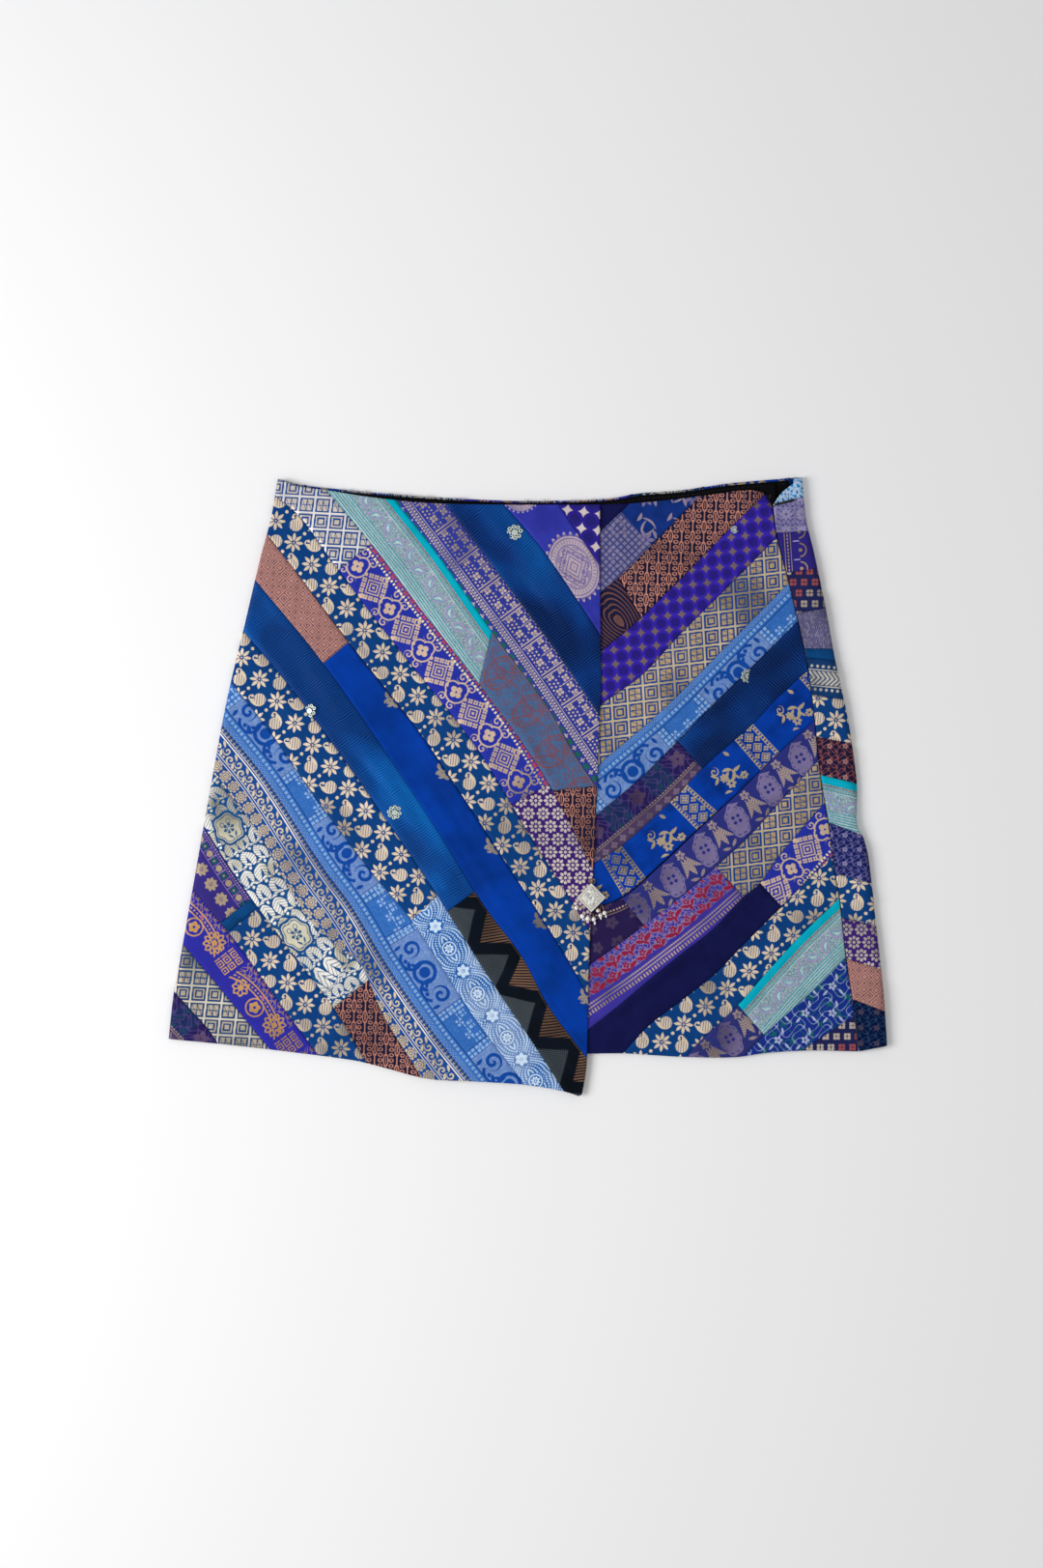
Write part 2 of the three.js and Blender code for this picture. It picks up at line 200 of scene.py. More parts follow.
def parity(v):
    return size(repeat(v, 2))    # 0 for an even whole number, 1 for an odd one


def turned(x, y, degrees):
    c, s = math.cos(math.radians(degrees)), math.sin(math.radians(degrees))
    return x * c + y * s, y * c - x * s


def stripe(v, centre, width, soft=0.06):
    return within(size(v - centre), width / 2, soft)


def linear(hexColour):
    channels = [int(hexColour[i:i + 2], 16) / 255 for i in (1, 3, 5)]
    return tuple(c / 12.92 if c <= 0.04045 else ((c + 0.055) / 1.055) ** 2.4 for c in channels) + (1.0,)


class Colour:
    def __init__(self, socket):
        self.socket = socket


def mixColour(tree, share, a, b):
    node = tree.nodes.new("ShaderNodeMix")
    node.data_type = "RGBA"
    feed(tree, share, node.inputs[0])
    for value, target in ((a, node.inputs[6]), (b, node.inputs[7])):
        if isinstance(value, Colour):
            tree.links.new(value.socket, target)
        else:
            target.default_value = value
    return Colour(node.outputs[2])


def addBump(tree, shader, height, strength, distance):
    bump = tree.nodes.new("ShaderNodeBump")
    bump.inputs["Strength"].default_value = strength
    bump.inputs["Distance"].default_value = distance
    tree.links.new(height.socket, bump.inputs["Height"])
    tree.links.new(bump.outputs[0], shader.inputs["Normal"])


# A fabric under way: its node tree, the thread coordinates in millimetres and its layers of colour
class Cloth:
    def __init__(self, name, ground, thread=0.45):
        self.material = bpy.data.materials.new(name)
        self.material.use_nodes = True
        self.tree = self.material.node_tree
        self.shader = self.tree.nodes["Principled BSDF"]
        place = self.tree.nodes.new("ShaderNodeAttribute")
        place.attribute_name = "weave"
        split = self.tree.nodes.new("ShaderNodeSeparateXYZ")
        self.tree.links.new(place.outputs["Vector"], split.inputs[0])
        self.place = place.outputs["Vector"]
        self.fineX, self.fineY = Num(split.outputs[0]), Num(split.outputs[1])
        self.x = calc("SNAP", self.fineX, thread)
        self.y = calc("SNAP", self.fineY, thread)
        self.colour = linear(ground)
        self.metal = 0.0
        self.raised = 0.0
        self.shine = None

    def noise(self, scale, detail=2.0, stretchX=1.0, stretchY=1.0):
        mapping = self.tree.nodes.new("ShaderNodeMapping")
        mapping.inputs["Scale"].default_value = (stretchX, stretchY, 1.0)
        self.tree.links.new(self.place, mapping.inputs["Vector"])
        node = self.tree.nodes.new("ShaderNodeTexNoise")
        node.inputs["Scale"].default_value = scale
        node.inputs["Detail"].default_value = detail
        self.tree.links.new(mapping.outputs[0], node.inputs["Vector"])
        return Num(node.outputs[0])

    def lay(self, mask, colour, metal=0.0, raised=1.0):
        ink = linear(colour)
        if metal:          # metal threads catch the light in some places and not in others
            # painted glint: a lit copy of the ink and a painted-shade copy at 0.42, picked by glint()
            paintedShadeInk = tuple(channel * 0.42 for channel in ink[:3]) + (1.0,)
            ink = mixColour(self.tree, self.glint(), paintedShadeInk, ink)
        self.colour = mixColour(self.tree, mask, self.colour, ink)
        if isinstance(self.metal, Num):
            self.metal = self.metal + (metal - self.metal) * mask
        elif metal:
            self.metal = mask * metal
        self.raised = most(self.raised, mask * raised) if isinstance(self.raised, Num) else mask * raised

    def cloud(self, scale, threshold, soft, share, colour):
        self.lay(beyond(self.noise(scale, 2.0), threshold, soft) * share, colour, raised=0.0)

    def glint(self):
        # painted highlight on metal threads: broad lit zones from a noise, with a fine ripple along the
        # threads
        if self.shine is None:
            paintedLitZones = beyond(self.noise(0.02, 1.0), 0.42, 0.22)
            thread = sine(self.fineX * (2 * math.pi / 0.9)) * 0.12
            self.shine = calc("ADD", paintedLitZones, thread, clamp=True)
        return self.shine

    def finish(self, roughness=0.62, sheen=0.0, ribs=0.0, lift=0.10, variety=0.30, satin=0.0):
        tree, shader = self.tree, self.shader
        slubs = self.noise(0.9, 3.0, 1.0, 0.12)
        patches = self.noise(0.09, 2.0)
        weft = sine(self.fineY * (2 * math.pi / 0.62))
        warp = sine(self.fineX * (2 * math.pi / 0.5))
        shade = 1.0 + (slubs - 0.5) * variety + (patches - 0.5) * variety + weft * 0.05 + warp * 0.04
        scaled = tree.nodes.new("ShaderNodeVectorMath")
        scaled.operation = "SCALE"
        if isinstance(self.colour, Colour):
            tree.links.new(self.colour.socket, scaled.inputs[0])
        else:
            scaled.inputs[0].default_value = self.colour[:3]
        tree.links.new(shade.socket, scaled.inputs["Scale"])
        tree.links.new(scaled.outputs[0], shader.inputs["Base Color"])
        if isinstance(self.metal, Num):
            tree.links.new(self.metal.socket, shader.inputs["Metallic"])
        rough = slubs * 0.22 + (roughness - 0.11)
        if isinstance(self.metal, Num):
            rough = rough - self.metal * 0.18
        tree.links.new(rough.socket, shader.inputs["Roughness"])
        shader.inputs["Specular IOR Level"].default_value = 0.04 + satin
        shader.inputs["Sheen Weight"].default_value = sheen
        height = weft * 0.02 + warp * 0.02 + slubs * 0.12
        if isinstance(self.raised, Num):
            height = height + self.raised * lift
        if ribs:
            crinkle = self.noise(0.35, 2.0, 1.0, 0.35)
            height = height + sine(self.fineY * (2 * math.pi / 1.9) + crinkle * 7.0) * ribs
        addBump(tree, shader, height, 0.75, 0.6 * mm)
        return self.material


# Seam lines and edges of the cut pieces, in photo pixels
def curveThrough(points, spacing=2.0):
    samples = [Vector(points[0])]
    for i in range(len(points) - 1):
        p1, p2 = Vector(points[i]), Vector(points[i + 1])
        p0 = Vector(points[i - 1]) if i else p1 * 2 - p2
        p3 = Vector(points[i + 2]) if i + 2 < len(points) else p2 * 2 - p1
        steps = max(1, round((p2 - p1).length / spacing))
        reach = (p2 - p1).length
        m1 = (p2 - p0) * (reach / max(1e-6, reach + (p1 - p0).length))
        m2 = (p3 - p1) * (reach / max(1e-6, reach + (p3 - p2).length))
        for k in range(1, steps + 1):
            t = k / steps
            samples.append(p1 * (2 * t ** 3 - 3 * t * t + 1) + m1 * (t ** 3 - 2 * t * t + t)
                           + p2 * (3 * t * t - 2 * t ** 3) + m2 * (t ** 3 - t * t))
    return samples


class Line:
    def __init__(self, *stretches):
        self.points = []
        for stretch in stretches:
            samples = curveThrough(stretch)
            joined = self.points and (samples[0] - self.points[-1]).length < 0.5
            self.points += samples[1:] if joined else samples
        self.reach = [0.0]
        for a, b in zip(self.points, self.points[1:]):
            self.reach.append(self.reach[-1] + (b - a).length)
        self.length = self.reach[-1]
        self.array = np.array([tuple(p) for p in self.points])
        self.reachArray = np.array(self.reach)

    def at(self, distance):
        x = np.interp(distance, self.reachArray, self.array[:, 0])
        y = np.interp(distance, self.reachArray, self.array[:, 1])
        return Vector((x, y))

    def frame(self, places):
        # Distance along the line and away from it, for each place
        a, b = self.array[:-1], self.array[1:]
        run = b - a
        span = np.maximum((run ** 2).sum(axis=1), 1e-9)
        rel = places[:, None, :] - a[None]
        share = (rel * run[None]).sum(axis=2) / span[None]
        clipped = np.clip(share, 0.0, 1.0)
        gap = rel - clipped[..., None] * run[None]
        distance = np.sqrt((gap ** 2).sum(axis=2))
        best = distance.argmin(axis=1)
        rows = np.arange(len(places))
        first, last = best == 0, best == len(a) - 1
        free = share[rows, best]
        held = np.clip(free, np.where(first, -1e3, 0.0), np.where(last, 1e3, 1.0))
        along = self.reachArray[best] + held * np.sqrt(span[best])
        side = (run[best, 0] * rel[rows, best, 1] - run[best, 1] * rel[rows, best, 0]) / np.sqrt(span[best])
        return along, side, distance[rows, best]

    def place(self, point):
        return float(self.frame(np.array([tuple(point)]))[0][0])


def between(outline, start, end):
    # Point at a share of the way along the closed outline, by its shorter side
    a, b = outline.place(start), outline.place(end)
    gap = b - a
    if gap > outline.length / 2:
        gap -= outline.length
    if gap < -outline.length / 2:
        gap += outline.length
    return lambda t: outline.at((a + gap * t) % outline.length)


leftEdge = [(288, 496), (281, 537), (269, 582), (252, 654), (235, 726), (216, 829), (200, 919),
            (186, 998), (180, 1030), (175, 1075)]
overHem = [(175, 1075), (226, 1080), (280, 1086), (365, 1097), (391, 1103), (442, 1116), (493, 1119),
           (540, 1122), (583, 1129), (602, 1135)]
overlapEdge = [(602, 1135), (606, 1113), (608, 1091), (610, 992), (614, 909), (617, 842), (621, 741),
               (622.5, 700), (621.5, 634), (621, 523)]
overWaist = [(621, 523), (522, 523), (462, 522), (430, 520), (377, 514), (340, 508), (311, 504), (288, 496)]
hiddenReach = 9          # how far the visible strips run on beneath the over panel
underLeft = [(x - hiddenReach, y) for x, y in reversed(overlapEdge[2:])]
underHem = [(599, 1090.5), (646, 1090), (671, 1091.6), (710, 1093.7), (760, 1094), (794, 1089.5),
            (839, 1087), (888.5, 1088)]
sideSeam = [(888.5, 1088), (884, 1050), (875, 988), (869, 932), (864, 904), (858, 857), (849, 804),
            (842, 737), (835, 685), (822, 627), (813, 591), (804, 558), (799, 524)]
underWaist = [(790.5, 511), (781, 508), (757, 509.6), (725, 514), (661, 521), (612, 523)]
returnSeam = [(x + 0.7, y) for x, y in reversed(sideSeam)]
returnHem = [(889.2, 1088), (918, 1082)]
rightEdge = [(918, 1082), (914, 1023), (907, 960), (899, 890), (894, 868), (887, 855), (887, 815),
             (883, 780), (877, 742), (865, 686), (855, 632), (843, 575), (834.5, 538), (830, 494.5)]
returnWaist = [(830, 494.5), (808, 502), (799.5, 510)]

overSeams = {
    "corner": [(621, 523), (621, 524.5)],
    "a": [(578, 523), (621, 586)],
    "b": [(522, 523), (564, 573), (621, 658)],
    "c": [(462, 522), (512, 589), (568, 664.5), (620, 741)],
    "d": [(409, 517), (450, 569), (509, 653), (566, 730), (598, 785), (618, 815)],
    "e": [(339, 507), (385, 563), (430, 622.5), (490, 700), (550, 782), (581, 834), (614, 901)],
    "f": [(285, 513), (311, 536), (338, 573), (388, 640), (422, 683), (492, 772), (551, 868), (595, 937),
          (611.5, 963)],
    "g": [(276, 553), (307, 593), (361, 665), (427, 749), (457, 792), (540, 919), (579, 980), (608, 1030)],
    "h": [(263, 600), (335, 687), (408, 791), (456, 864), (502, 938), (540, 989), (568, 1041), (608, 1095)],
    "i": [(252, 653), (309, 722), (369, 804), (450, 922), (506, 1011), (558, 1089), (584, 1130)],
    "j": [(240, 706), (280, 757), (331, 831), (391, 910), (427, 953), (487, 1047), (511, 1080),
          (544, 1123)],
    "k": [(231, 750), (276, 806), (335, 897), (365, 938), (401, 998), (448, 1066), (489, 1118)],
    "m": [(220, 800), (267, 861), (305, 928), (350, 981), (372, 994), (396, 1047), (437, 1113)],
    "n": [(212, 855), (247, 910), (287, 965), (346, 1043), (380, 1100)],
    "o": [(200, 920), (244, 974), (293, 1042), (330, 1092)],
    "p": [(191, 977), (226, 1019), (280, 1086)],
    "q": [(181, 1026), (216, 1065), (226, 1080)],
    "tip": [(175.4, 1073), (175, 1075)],
}
overStrips = [
    ("corner", "a", ["creamQuatrefoil"], []),
    ("a", "b", ["violetMedallion"], []),
    ("b", "c", ["blueSatin"], []),
    ("c", "d", ["squaresBorder"], []),
    ("d", "e", ["turquoisePaisley", "greyOutline", "copperKnots"],
     [((509, 655), (497, 708)), ((616, 815), (571, 819))]),
    ("e", "f", ["latticeTop", "violetOgee", "violetRosettes"],
     [((385, 563), (354, 588)), ((568, 812), (530, 833))]),
    ("f", "g", ["paisleyFlower"], []),
    ("g", "h", ["copperDiamonds", "royalPlain"], [((361, 665), (335, 687))]),
    ("h", "i", ["brightSatin", "darkTriangles"], [((493, 922), (464, 943))]),
    ("i", "j", ["paisleyFlower", "blueWhite"], [((453, 927), (427, 952))]),
    ("j", "k", ["scrollBorder"], []),
    ("k", "m", ["vineBand"], []),
    ("m", "n", ["largeLeaf", "copperKnots"], [((380, 1015), (346, 1043))]),
    ("n", "o", ["purpleSquares", "tealPlain", "paisleyFlower"],
     [((260, 930), (229, 955)), ((267, 940), (236, 965))]),
    ("o", "p", ["arabesque"], []),
    ("p", "q", ["latticeSmall"], []),
    ("q", "tip", ["darkBrocade"], []),
]
underSeams = {
    "corner": [(613, 523), (613.5, 523.5)],
    "navy": [(613, 559), (622, 551), (652, 522)],
    "a1": [(613, 621), (644, 596), (689, 551), (725, 515)],
    "a2": [(613, 681), (652, 650), (699, 605), (748, 555), (790.5, 513)],
    "a3": [(613, 736), (639, 718), (666, 698), (706, 655), (750, 611), (803, 557)],
    "a4": [(610, 800), (685, 736), (748, 673), (816, 604)],
    "a5": [(609, 852), (670, 800), (730, 738), (780, 689), (826, 643)],
    "a6": [(607, 899), (640, 879), (664, 859), (702, 823), (727, 796), (781, 748), (801, 726), (836, 694)],
    "a7": [(606, 943), (645, 929), (685, 895), (726, 856), (766, 819), (807, 779), (843, 746)],
    "a9": [(602, 1005), (631, 985), (667, 958), (708, 926), (741, 897), (775, 866), (803, 835), (847, 787)],
    "a10": [(600, 1073), (641, 1041), (671, 1015), (702, 990), (740, 960), (770, 928), (787, 914),
            (806, 887), (831, 857), (854, 831)],
    "a13": [(645, 1090), (671, 1062), (702, 1038), (741, 1007), (766, 981), (809, 938), (843, 903),
            (861, 886)],
    "a14": [(710, 1093.5), (724, 1078), (764, 1040), (792, 1008), (825, 972), (868.5, 930)],
    "a16": [(770, 1093), (791, 1071), (825, 1040), (849, 1018), (875, 991)],
    "a18": [(830, 1087.5), (849, 1075), (871, 1060), (884.5, 1052)],
    "tip": [(887.5, 1088), (888, 1087)],
}
underStrips = [
    ("corner", "navy", ["navyPlain"], []),
    ("navy", "a1", ["tanBranches"], []),
    ("a1", "a2", ["darkPaisley", "copperKnots"], [((641, 599), (664, 639))]),
    ("a2", "a3", ["puckeredRings"], []),
    ("a3", "a4", ["lattice"], []),
    ("a4", "a5", ["scrollBorder"], []),
    ("a5", "a6", ["darkBrocade", "blueSatin"], [((703, 768), (727, 796))]),
    ("a6", "a7", ["goldBands"], []),
    ("a7", "a9", ["dottedPurple", "lilacTulips"], [((644, 930), (667, 958))]),
    ("a9", "a10", ["redLeaves", "lattice"], [((741, 897), (770, 928))]),
    ("a10", "a13", ["navyPlain", "violetOgee"], [((787, 914), (809, 938))]),
    ("a13", "a14", ["paisleyFlower"], []),
    ("a14", "a16", ["lilacMedallion", "turquoisePaisley"], [((764, 1040), (791, 1071))]),
    ("a16", "a18", ["whiteVines"], []),
    ("a18", "tip", ["smallFlowers"], []),
]
# Bands of the side return: fabric, and where its lower seam meets the side seam and the right fold
returnBands = [
    ("cyanWhite", 519, 514), ("violetWhite", 553, 549), ("goldZigzag", 592, 589),
    ("smallFlowers", 634, 631), ("lilacGrey", 671, 672), ("tealPlain", 682, 685),
    ("silverBraid", 718, 724), ("paisleyFlower", 763, 769), ("redVines", 802, 812),
    ("turquoisePaisley", 852, 864), ("lilacVines", 905, 914), ("paisleyFlower", 950, 958),
    ("violetRosettes", 992, 1003), ("copperDiamonds", 1034, 1046), ("darkFloral", None, None),
]

# Height of the laid cloth: the solids give the form, and the relief below is added to it
cloth = {
    "thickness": 0.9 * mm,
    "sampling": 2.6 * mm,       # spacing of the cloth's faces
    "seamRows": (0.0, 0.5 * mm, 1.2 * mm, 2.3 * mm),
    "seamGroove": 0.62 * mm, "seamReach": 0.85 * mm,
    "seamPuff": 0.28 * mm, "puffAt": 3.4 * mm, "puffReach": 2.4 * mm,
    "undulation": 0.8 * mm, "undulationSize": 0.030,
    "pucker": 0.42 * mm, "puckerSize": 0.0085,
    "edgeRound": 0.9 * mm, "edgeDrop": 0.45 * mm,
    "edgeFade": 3 * mm, "edgeShare": 0.35,      # relief dies away towards a cut edge
    "blurFrom": 9 * mm, "blurReach": 6 * mm,    # the solid's facets are smoothed away from an edge
    "seamFade": 7 * mm, "rest": 0.05 * mm,
    "creaseScale": 1.4 * mm, "creaseAlong": 2.2, "creaseAcross": 2.4,    # reach in half sizes
    "facesUp": 0.35,
    "onEdge": 3.5, "onRim": 1.2,    # photo pixels
}


def surfaceOf(piece):
    mesh = piece.data
    return BVHTree.FromPolygons([piece.matrix_world @ v.co for v in mesh.vertices],
                                [tuple(p.vertices) for p in mesh.polygons])


solids = {name: surfaceOf(frame["nodes"][name]) for name in
          ("front_over_panel", "front_under_panel", "back_panel", "back_facing", "placket_tape")}
blurSteps = [(0.0, 0.0)] + [(cloth["blurReach"] * math.cos(a * math.pi / 3),
                             cloth["blurReach"] * math.sin(a * math.pi / 3))
                            for a in range(6)]


def topOf(node, x, y, blur=True):
    total, count = 0.0, 0
    for dx, dy in blurSteps if blur else blurSteps[:1]:
        hit = solids[node].ray_cast(Vector((x + dx, y + dy, 0.5)), Vector((0, 0, -1)))[0]
        if hit is not None:
            total, count = total + hit.z, count + 1
    if count:
        return total / count
    return solids[node].find_nearest(Vector((x, y, 4 * mm)))[0].z


# Main creases of the front, in photo pixels: soft troughs are negative, ridges positive
creases = [
    # middle x, y, half length, half width, turn in degrees, height in millimetres
    (281, 690, 34, 5.0, 52, -0.9), (300, 735, 40, 6.0, 50, 0.6), (384, 800, 26, 4.5, 48, -0.8),
    (420, 838, 44, 6.0, 55, 0.6), (330, 700, 60, 9.0, 56, 0.7), (500, 905, 50, 7.0, 58, 0.7),
    (470, 842, 46, 6.0, 57, -0.6), (548, 1000, 52, 7.0, 58, -0.5), (528, 560, 30, 6.0, 50, 0.7),
    (556, 620, 36, 5.0, 52, -0.6), (590, 600, 24, 7.0, 40, 0.6), (240, 640, 26, 5.0, 70, 0.6),
    (225, 860, 40, 7.0, 78, 0.9), (205, 930, 34, 6.0, 84, -0.5), (330, 930, 50, 7.0, 56, 0.6),
    (372, 1010, 44, 6.0, 62, -0.6), (300, 1010, 44, 6.0, 50, 0.6), (420, 600, 60, 8.0, 53, 0.6),
    (450, 720, 60, 7.0, 55, -0.5), (560, 790, 44, 6.0, 56, 0.6), (395, 1080, 20, 8.0, 20, -0.8),
    (700, 600, 50, 7.0, -44, 0.6), (745, 660, 46, 6.0, -46, -0.6), (690, 700, 44, 7.0, -42, 0.7),
    (780, 700, 34, 6.0, -44, 0.7), (660, 800, 40, 5.0, -40, -0.6), (760, 790, 46, 7.0, -44, 0.7),
    (700, 870, 40, 6.0, -38, -0.5), (800, 850, 40, 6.0, -50, 0.6), (700, 990, 60, 7.0, -40, 0.7),
    (660, 1040, 36, 6.0, -36, -0.5), (800, 980, 46, 7.0, -44, 0.6), (840, 1040, 34, 6.0, -40, -0.5),
    (780, 560, 30, 5.0, -52, -0.6), (640, 560, 26, 5.0, 80, 0.5), (880, 868, 16, 5.0, 5, -1.2),
    (862, 700, 20, 5.0, 12, 0.7), (872, 770, 22, 5.0, 8, -0.8), (892, 930, 20, 6.0, 10, 0.8),
    (850, 610, 18, 4.0, 10, -0.7), (898, 1010, 18, 6.0, 10, -0.7), (640, 930, 20, 5.0, -30, -0.4),
]
creaseRows = []
for creaseX, creaseY, halfLength, halfWidth, turn, height in creases:
    middle = fromPhoto(creaseX, creaseY)
    c, s = math.cos(math.radians(-turn)), math.sin(math.radians(-turn))
    scale = photo["metresPerPixel"]
    creaseRows.append((middle.x, middle.y, halfLength * scale, halfWidth * scale, c, s,
                       height * cloth["creaseScale"]))


def creaseAt(x, y):
    total = 0.0
    for cx, cy, along, across, c, s, height in creaseRows:
        dx, dy = x - cx, y - cy
        a = (dx * c + dy * s) / along
        b = (dy * c - dx * s) / across
        if abs(a) < cloth["creaseAlong"] and abs(b) < cloth["creaseAcross"]:
            total += height * math.exp(-a * a - b * b)
    return total


def reliefAt(x, y, toSeam, slant):
    # Puffed cloth with a pressed seam at its edges, uneven from place to place
    c, s = math.cos(slant), math.sin(slant)
    u, v = x * c + y * s, y * c - x * s
    waves = noise.noise(Vector((u / cloth["undulationSize"] * 0.55, v / cloth["undulationSize"], 3.1)))
    pucker = noise.noise(Vector((u / cloth["puckerSize"], v / cloth["puckerSize"] * 0.35, 8.2)))
    nearSeam = math.exp(-toSeam / cloth["seamFade"])
    groove = -cloth["seamGroove"] * math.exp(-(toSeam / cloth["seamReach"]) ** 2)
    puff = cloth["seamPuff"] * math.exp(-((toSeam - cloth["puffAt"]) / cloth["puffReach"]) ** 2)
    return (groove + puff * (0.8 + 0.5 * pucker) + waves * cloth["undulation"]
            + pucker * cloth["pucker"] * (0.35 + nearSeam))


def rowPlaces(width):
    # Shares across a piece: close rows at both seams, even rows between
    rows = cloth["seamRows"]
    inner = width - 2 * rows[-1]
    if inner < 2 * cloth["sampling"]:
        count = max(4, round(width / (0.9 * mm)))
        return [i / count for i in range(count + 1)]
    count = max(2, round(inner / cloth["sampling"]))
    left = [r / width for r in rows[:-1]]
    middle = [(rows[-1] + inner * i / count) / width for i in range(count + 1)]
    return left + middle + [1 - share for share in reversed(left)]


def faceAlong(bm, faces, direction):
    # Turns a sheet's faces up for 1 and down for -1
    bmesh.ops.recalc_face_normals(bm, faces=faces)
    if sum(face.normal.z for face in faces) * direction < 0:
        bmesh.ops.reverse_faces(bm, faces=faces)


fabricIndex = {}


def fabricSlot(materials, name):
    if name not in fabricIndex:
        fabricIndex[name] = makeFabric(name)
    material = fabricIndex[name]
    if material not in materials:
        materials.append(material)
    return materials.index(material)


def newCloth():
    bm = bmesh.new()
    return bm, bm.verts.layers.float_vector.new("weave"), []


def layThreads(vert, weave, fabric, threads, seed):
    if fabric in pageTurns:
        threads = pageWeave(vert.co.x, vert.co.y, pageTurns[fabric])
    vert[weave] = Vector((*threads, seed))


def paintFaces(faces, slot):
    for face in faces:
        face.material_index = slot
        face.smooth = True


lowerGuided = ("scrollBorder", "violetOgee")


def sewPatch(bm, weave, materials, node, upper, lower, starts, ends, fabric, outline, slant):
    # starts and ends are pairs of places: one on the upper line and one on the lower line
    metre = photo["metresPerPixel"]
    a0, a1 = upper.place(starts[0]), upper.place(ends[0])
    b0, b1 = lower.place(starts[1]), lower.place(ends[1])
    sides, freeEnds = [], []
    for pair in (starts, ends):
        free = max(outline.frame(np.array([tuple(p)]))[2][0] for p in pair) < cloth["onEdge"]
        freeEnds.append(free)
        sides.append(between(outline, *pair) if free else lambda t, p=pair: p[0].lerp(p[1], t))
    width = metre * max((starts[0] - starts[1]).length, (ends[0] - ends[1]).length,
                        (upper.at((a0 + a1) / 2) - lower.at((b0 + b1) / 2)).length)
    length = metre * max(abs(a1 - a0), abs(b1 - b0))
    acrossPlaces, alongPlaces = rowPlaces(width), rowPlaces(length)
    columns, rows = len(acrossPlaces) - 1, len(alongPlaces) - 1
    made = bmesh.ops.create_grid(bm, x_segments=columns, y_segments=rows, size=0.5)["verts"]
    toSeam, pixels = [], []
    for vert in made:
        u = acrossPlaces[round((vert.co.x + 0.5) * columns)]
        v = alongPlaces[round((vert.co.y + 0.5) * rows)]
        top, bottom = upper.at(a0 + (a1 - a0) * v), lower.at(b0 + (b1 - b0) * v)
        first, last = sides[0](u), sides[1](u)
        flat = (starts[0] * (1 - v) + ends[0] * v) * (1 - u) + (starts[1] * (1 - v) + ends[1] * v) * u
        pixels.append(top * (1 - u) + bottom * u + first * (1 - v) + last * v - flat)
        fromEnds = [v * length, (1 - v) * length]
        seamEnds = [d for d, free in zip(fromEnds, freeEnds) if not free]
        toSeam.append(min([u * width, (1 - u) * width] + seamEnds))
    places = np.array([tuple(p) for p in pixels])
    guide = lower if fabric in lowerGuided and node == "front_over_panel" else upper
    along, across, _ = guide.frame(places)
    toEdge = outline.frame(places)[2] * metre
    seed = len(bm.verts) % 97
    for vert, pixel, a, b, seam, edge in zip(made, pixels, along, across, toSeam, toEdge):
        x, y = fromPhoto(pixel.x, pixel.y)
        z = topOf(node, x, y, edge > cloth["blurFrom"]) + creaseAt(x, y)
        z += reliefAt(x, y, seam, slant) * smooth(edge / cloth["edgeFade"] + cloth["edgeShare"])
        z -= cloth["edgeDrop"] * max(0.0, 1 - edge / cloth["edgeRound"]) ** 2
        vert.co = (x, y, z)
        layThreads(vert, weave, fabric, (abs(b) * metre / mm, a * metre / mm), seed)
    faces = list({face for vert in made for face in vert.link_faces})
    faceAlong(bm, faces, 1)
    paintFaces(faces, fabricSlot(materials, fabric))


def wholeWidth(upper, lower):
    return (upper.points[0], lower.points[0]), (upper.points[-1], lower.points[-1])


def sewStrips(bm, weave, materials, node, seams, strips, outline, slant):
    lines = {name: Line(points) for name, points in seams.items()}
    for upperName, lowerName, names, cuts in strips:
        upper, lower = lines[upperName], lines[lowerName]
        stops = [(upper.points[0], lower.points[0])]
        stops += [(upper.at(upper.place(p)), lower.at(lower.place(q))) for p, q in cuts]
        stops.append((upper.points[-1], lower.points[-1]))
        for fabric, starts, ends in zip(names, stops, stops[1:]):
            sewPatch(bm, weave, materials, node, upper, lower, starts, ends, fabric, outline, slant)


def placePiece(name, bm, materials, replaced=()):
    mesh = bpy.data.meshes.new(name)
    bm.to_mesh(mesh)
    bm.free()
    for material in materials:
        mesh.materials.append(material)
    piece = bpy.data.objects.new(name, mesh)
    scene.collection.objects.link(piece)
    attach(piece, "root")
    if replaced:
        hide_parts(*replaced)
    print("made", name, len(mesh.polygons), "faces")
    return piece


def finishCloth(name, bm, materials, replaced):
    bm.normal_update()
    for vert in bm.verts:       # the wall goes inwards from this outer side, and both stay above the table
        lowest = cloth["thickness"] if vert.normal.z > cloth["facesUp"] else 0.0
        vert.co.z = max(vert.co.z, lowest + cloth["rest"])
    piece = placePiece(name, bm, materials, replaced)
    wall = piece.modifiers.new("wall", "SOLIDIFY")
    wall.thickness = cloth["thickness"]
    wall.offset = -1.0
    return piece


def rollUnder(bm, weave, edgeLine, turns, inward, drop):
    # Carries the cloth's laid edge round its fold and under: turns are shares of the fold's radius
    pixelLine = Line(edgeLine)
    rim = []
    for edge in bm.edges:
        if edge.is_boundary:
            spots = [(v.co.x / photo["metresPerPixel"] + photo["centreX"],
                      photo["centreY"] - v.co.y / photo["metresPerPixel"]) for v in edge.verts]
            if pixelLine.frame(np.array(spots))[2].max() < cloth["onRim"]:
                rim.append(edge)
    start = {}
    for edge in rim:
        for vert in edge.verts:
            start[vert] = vert.co.copy()
    for share, fall in turns:
        made = bmesh.ops.extrude_edge_only(bm, edges=rim)["geom"]
        rim = [g for g in made if isinstance(g, bmesh.types.BMEdge)]
        moved = {}
        for vert in (g for g in made if isinstance(g, bmesh.types.BMVert)):
            source = min(start, key=lambda v: (v.co.xy - vert.co.xy).length_squared)
            base = start[source]
            vert.co = (base.x + inward * share, base.y, base.z * fall + drop)
            vert[weave] = source[weave] + Vector((0, share / mm, 0))
            moved[vert] = base
        for face in (g for g in made if isinstance(g, bmesh.types.BMFace)):
            face.smooth = True
        start = moved


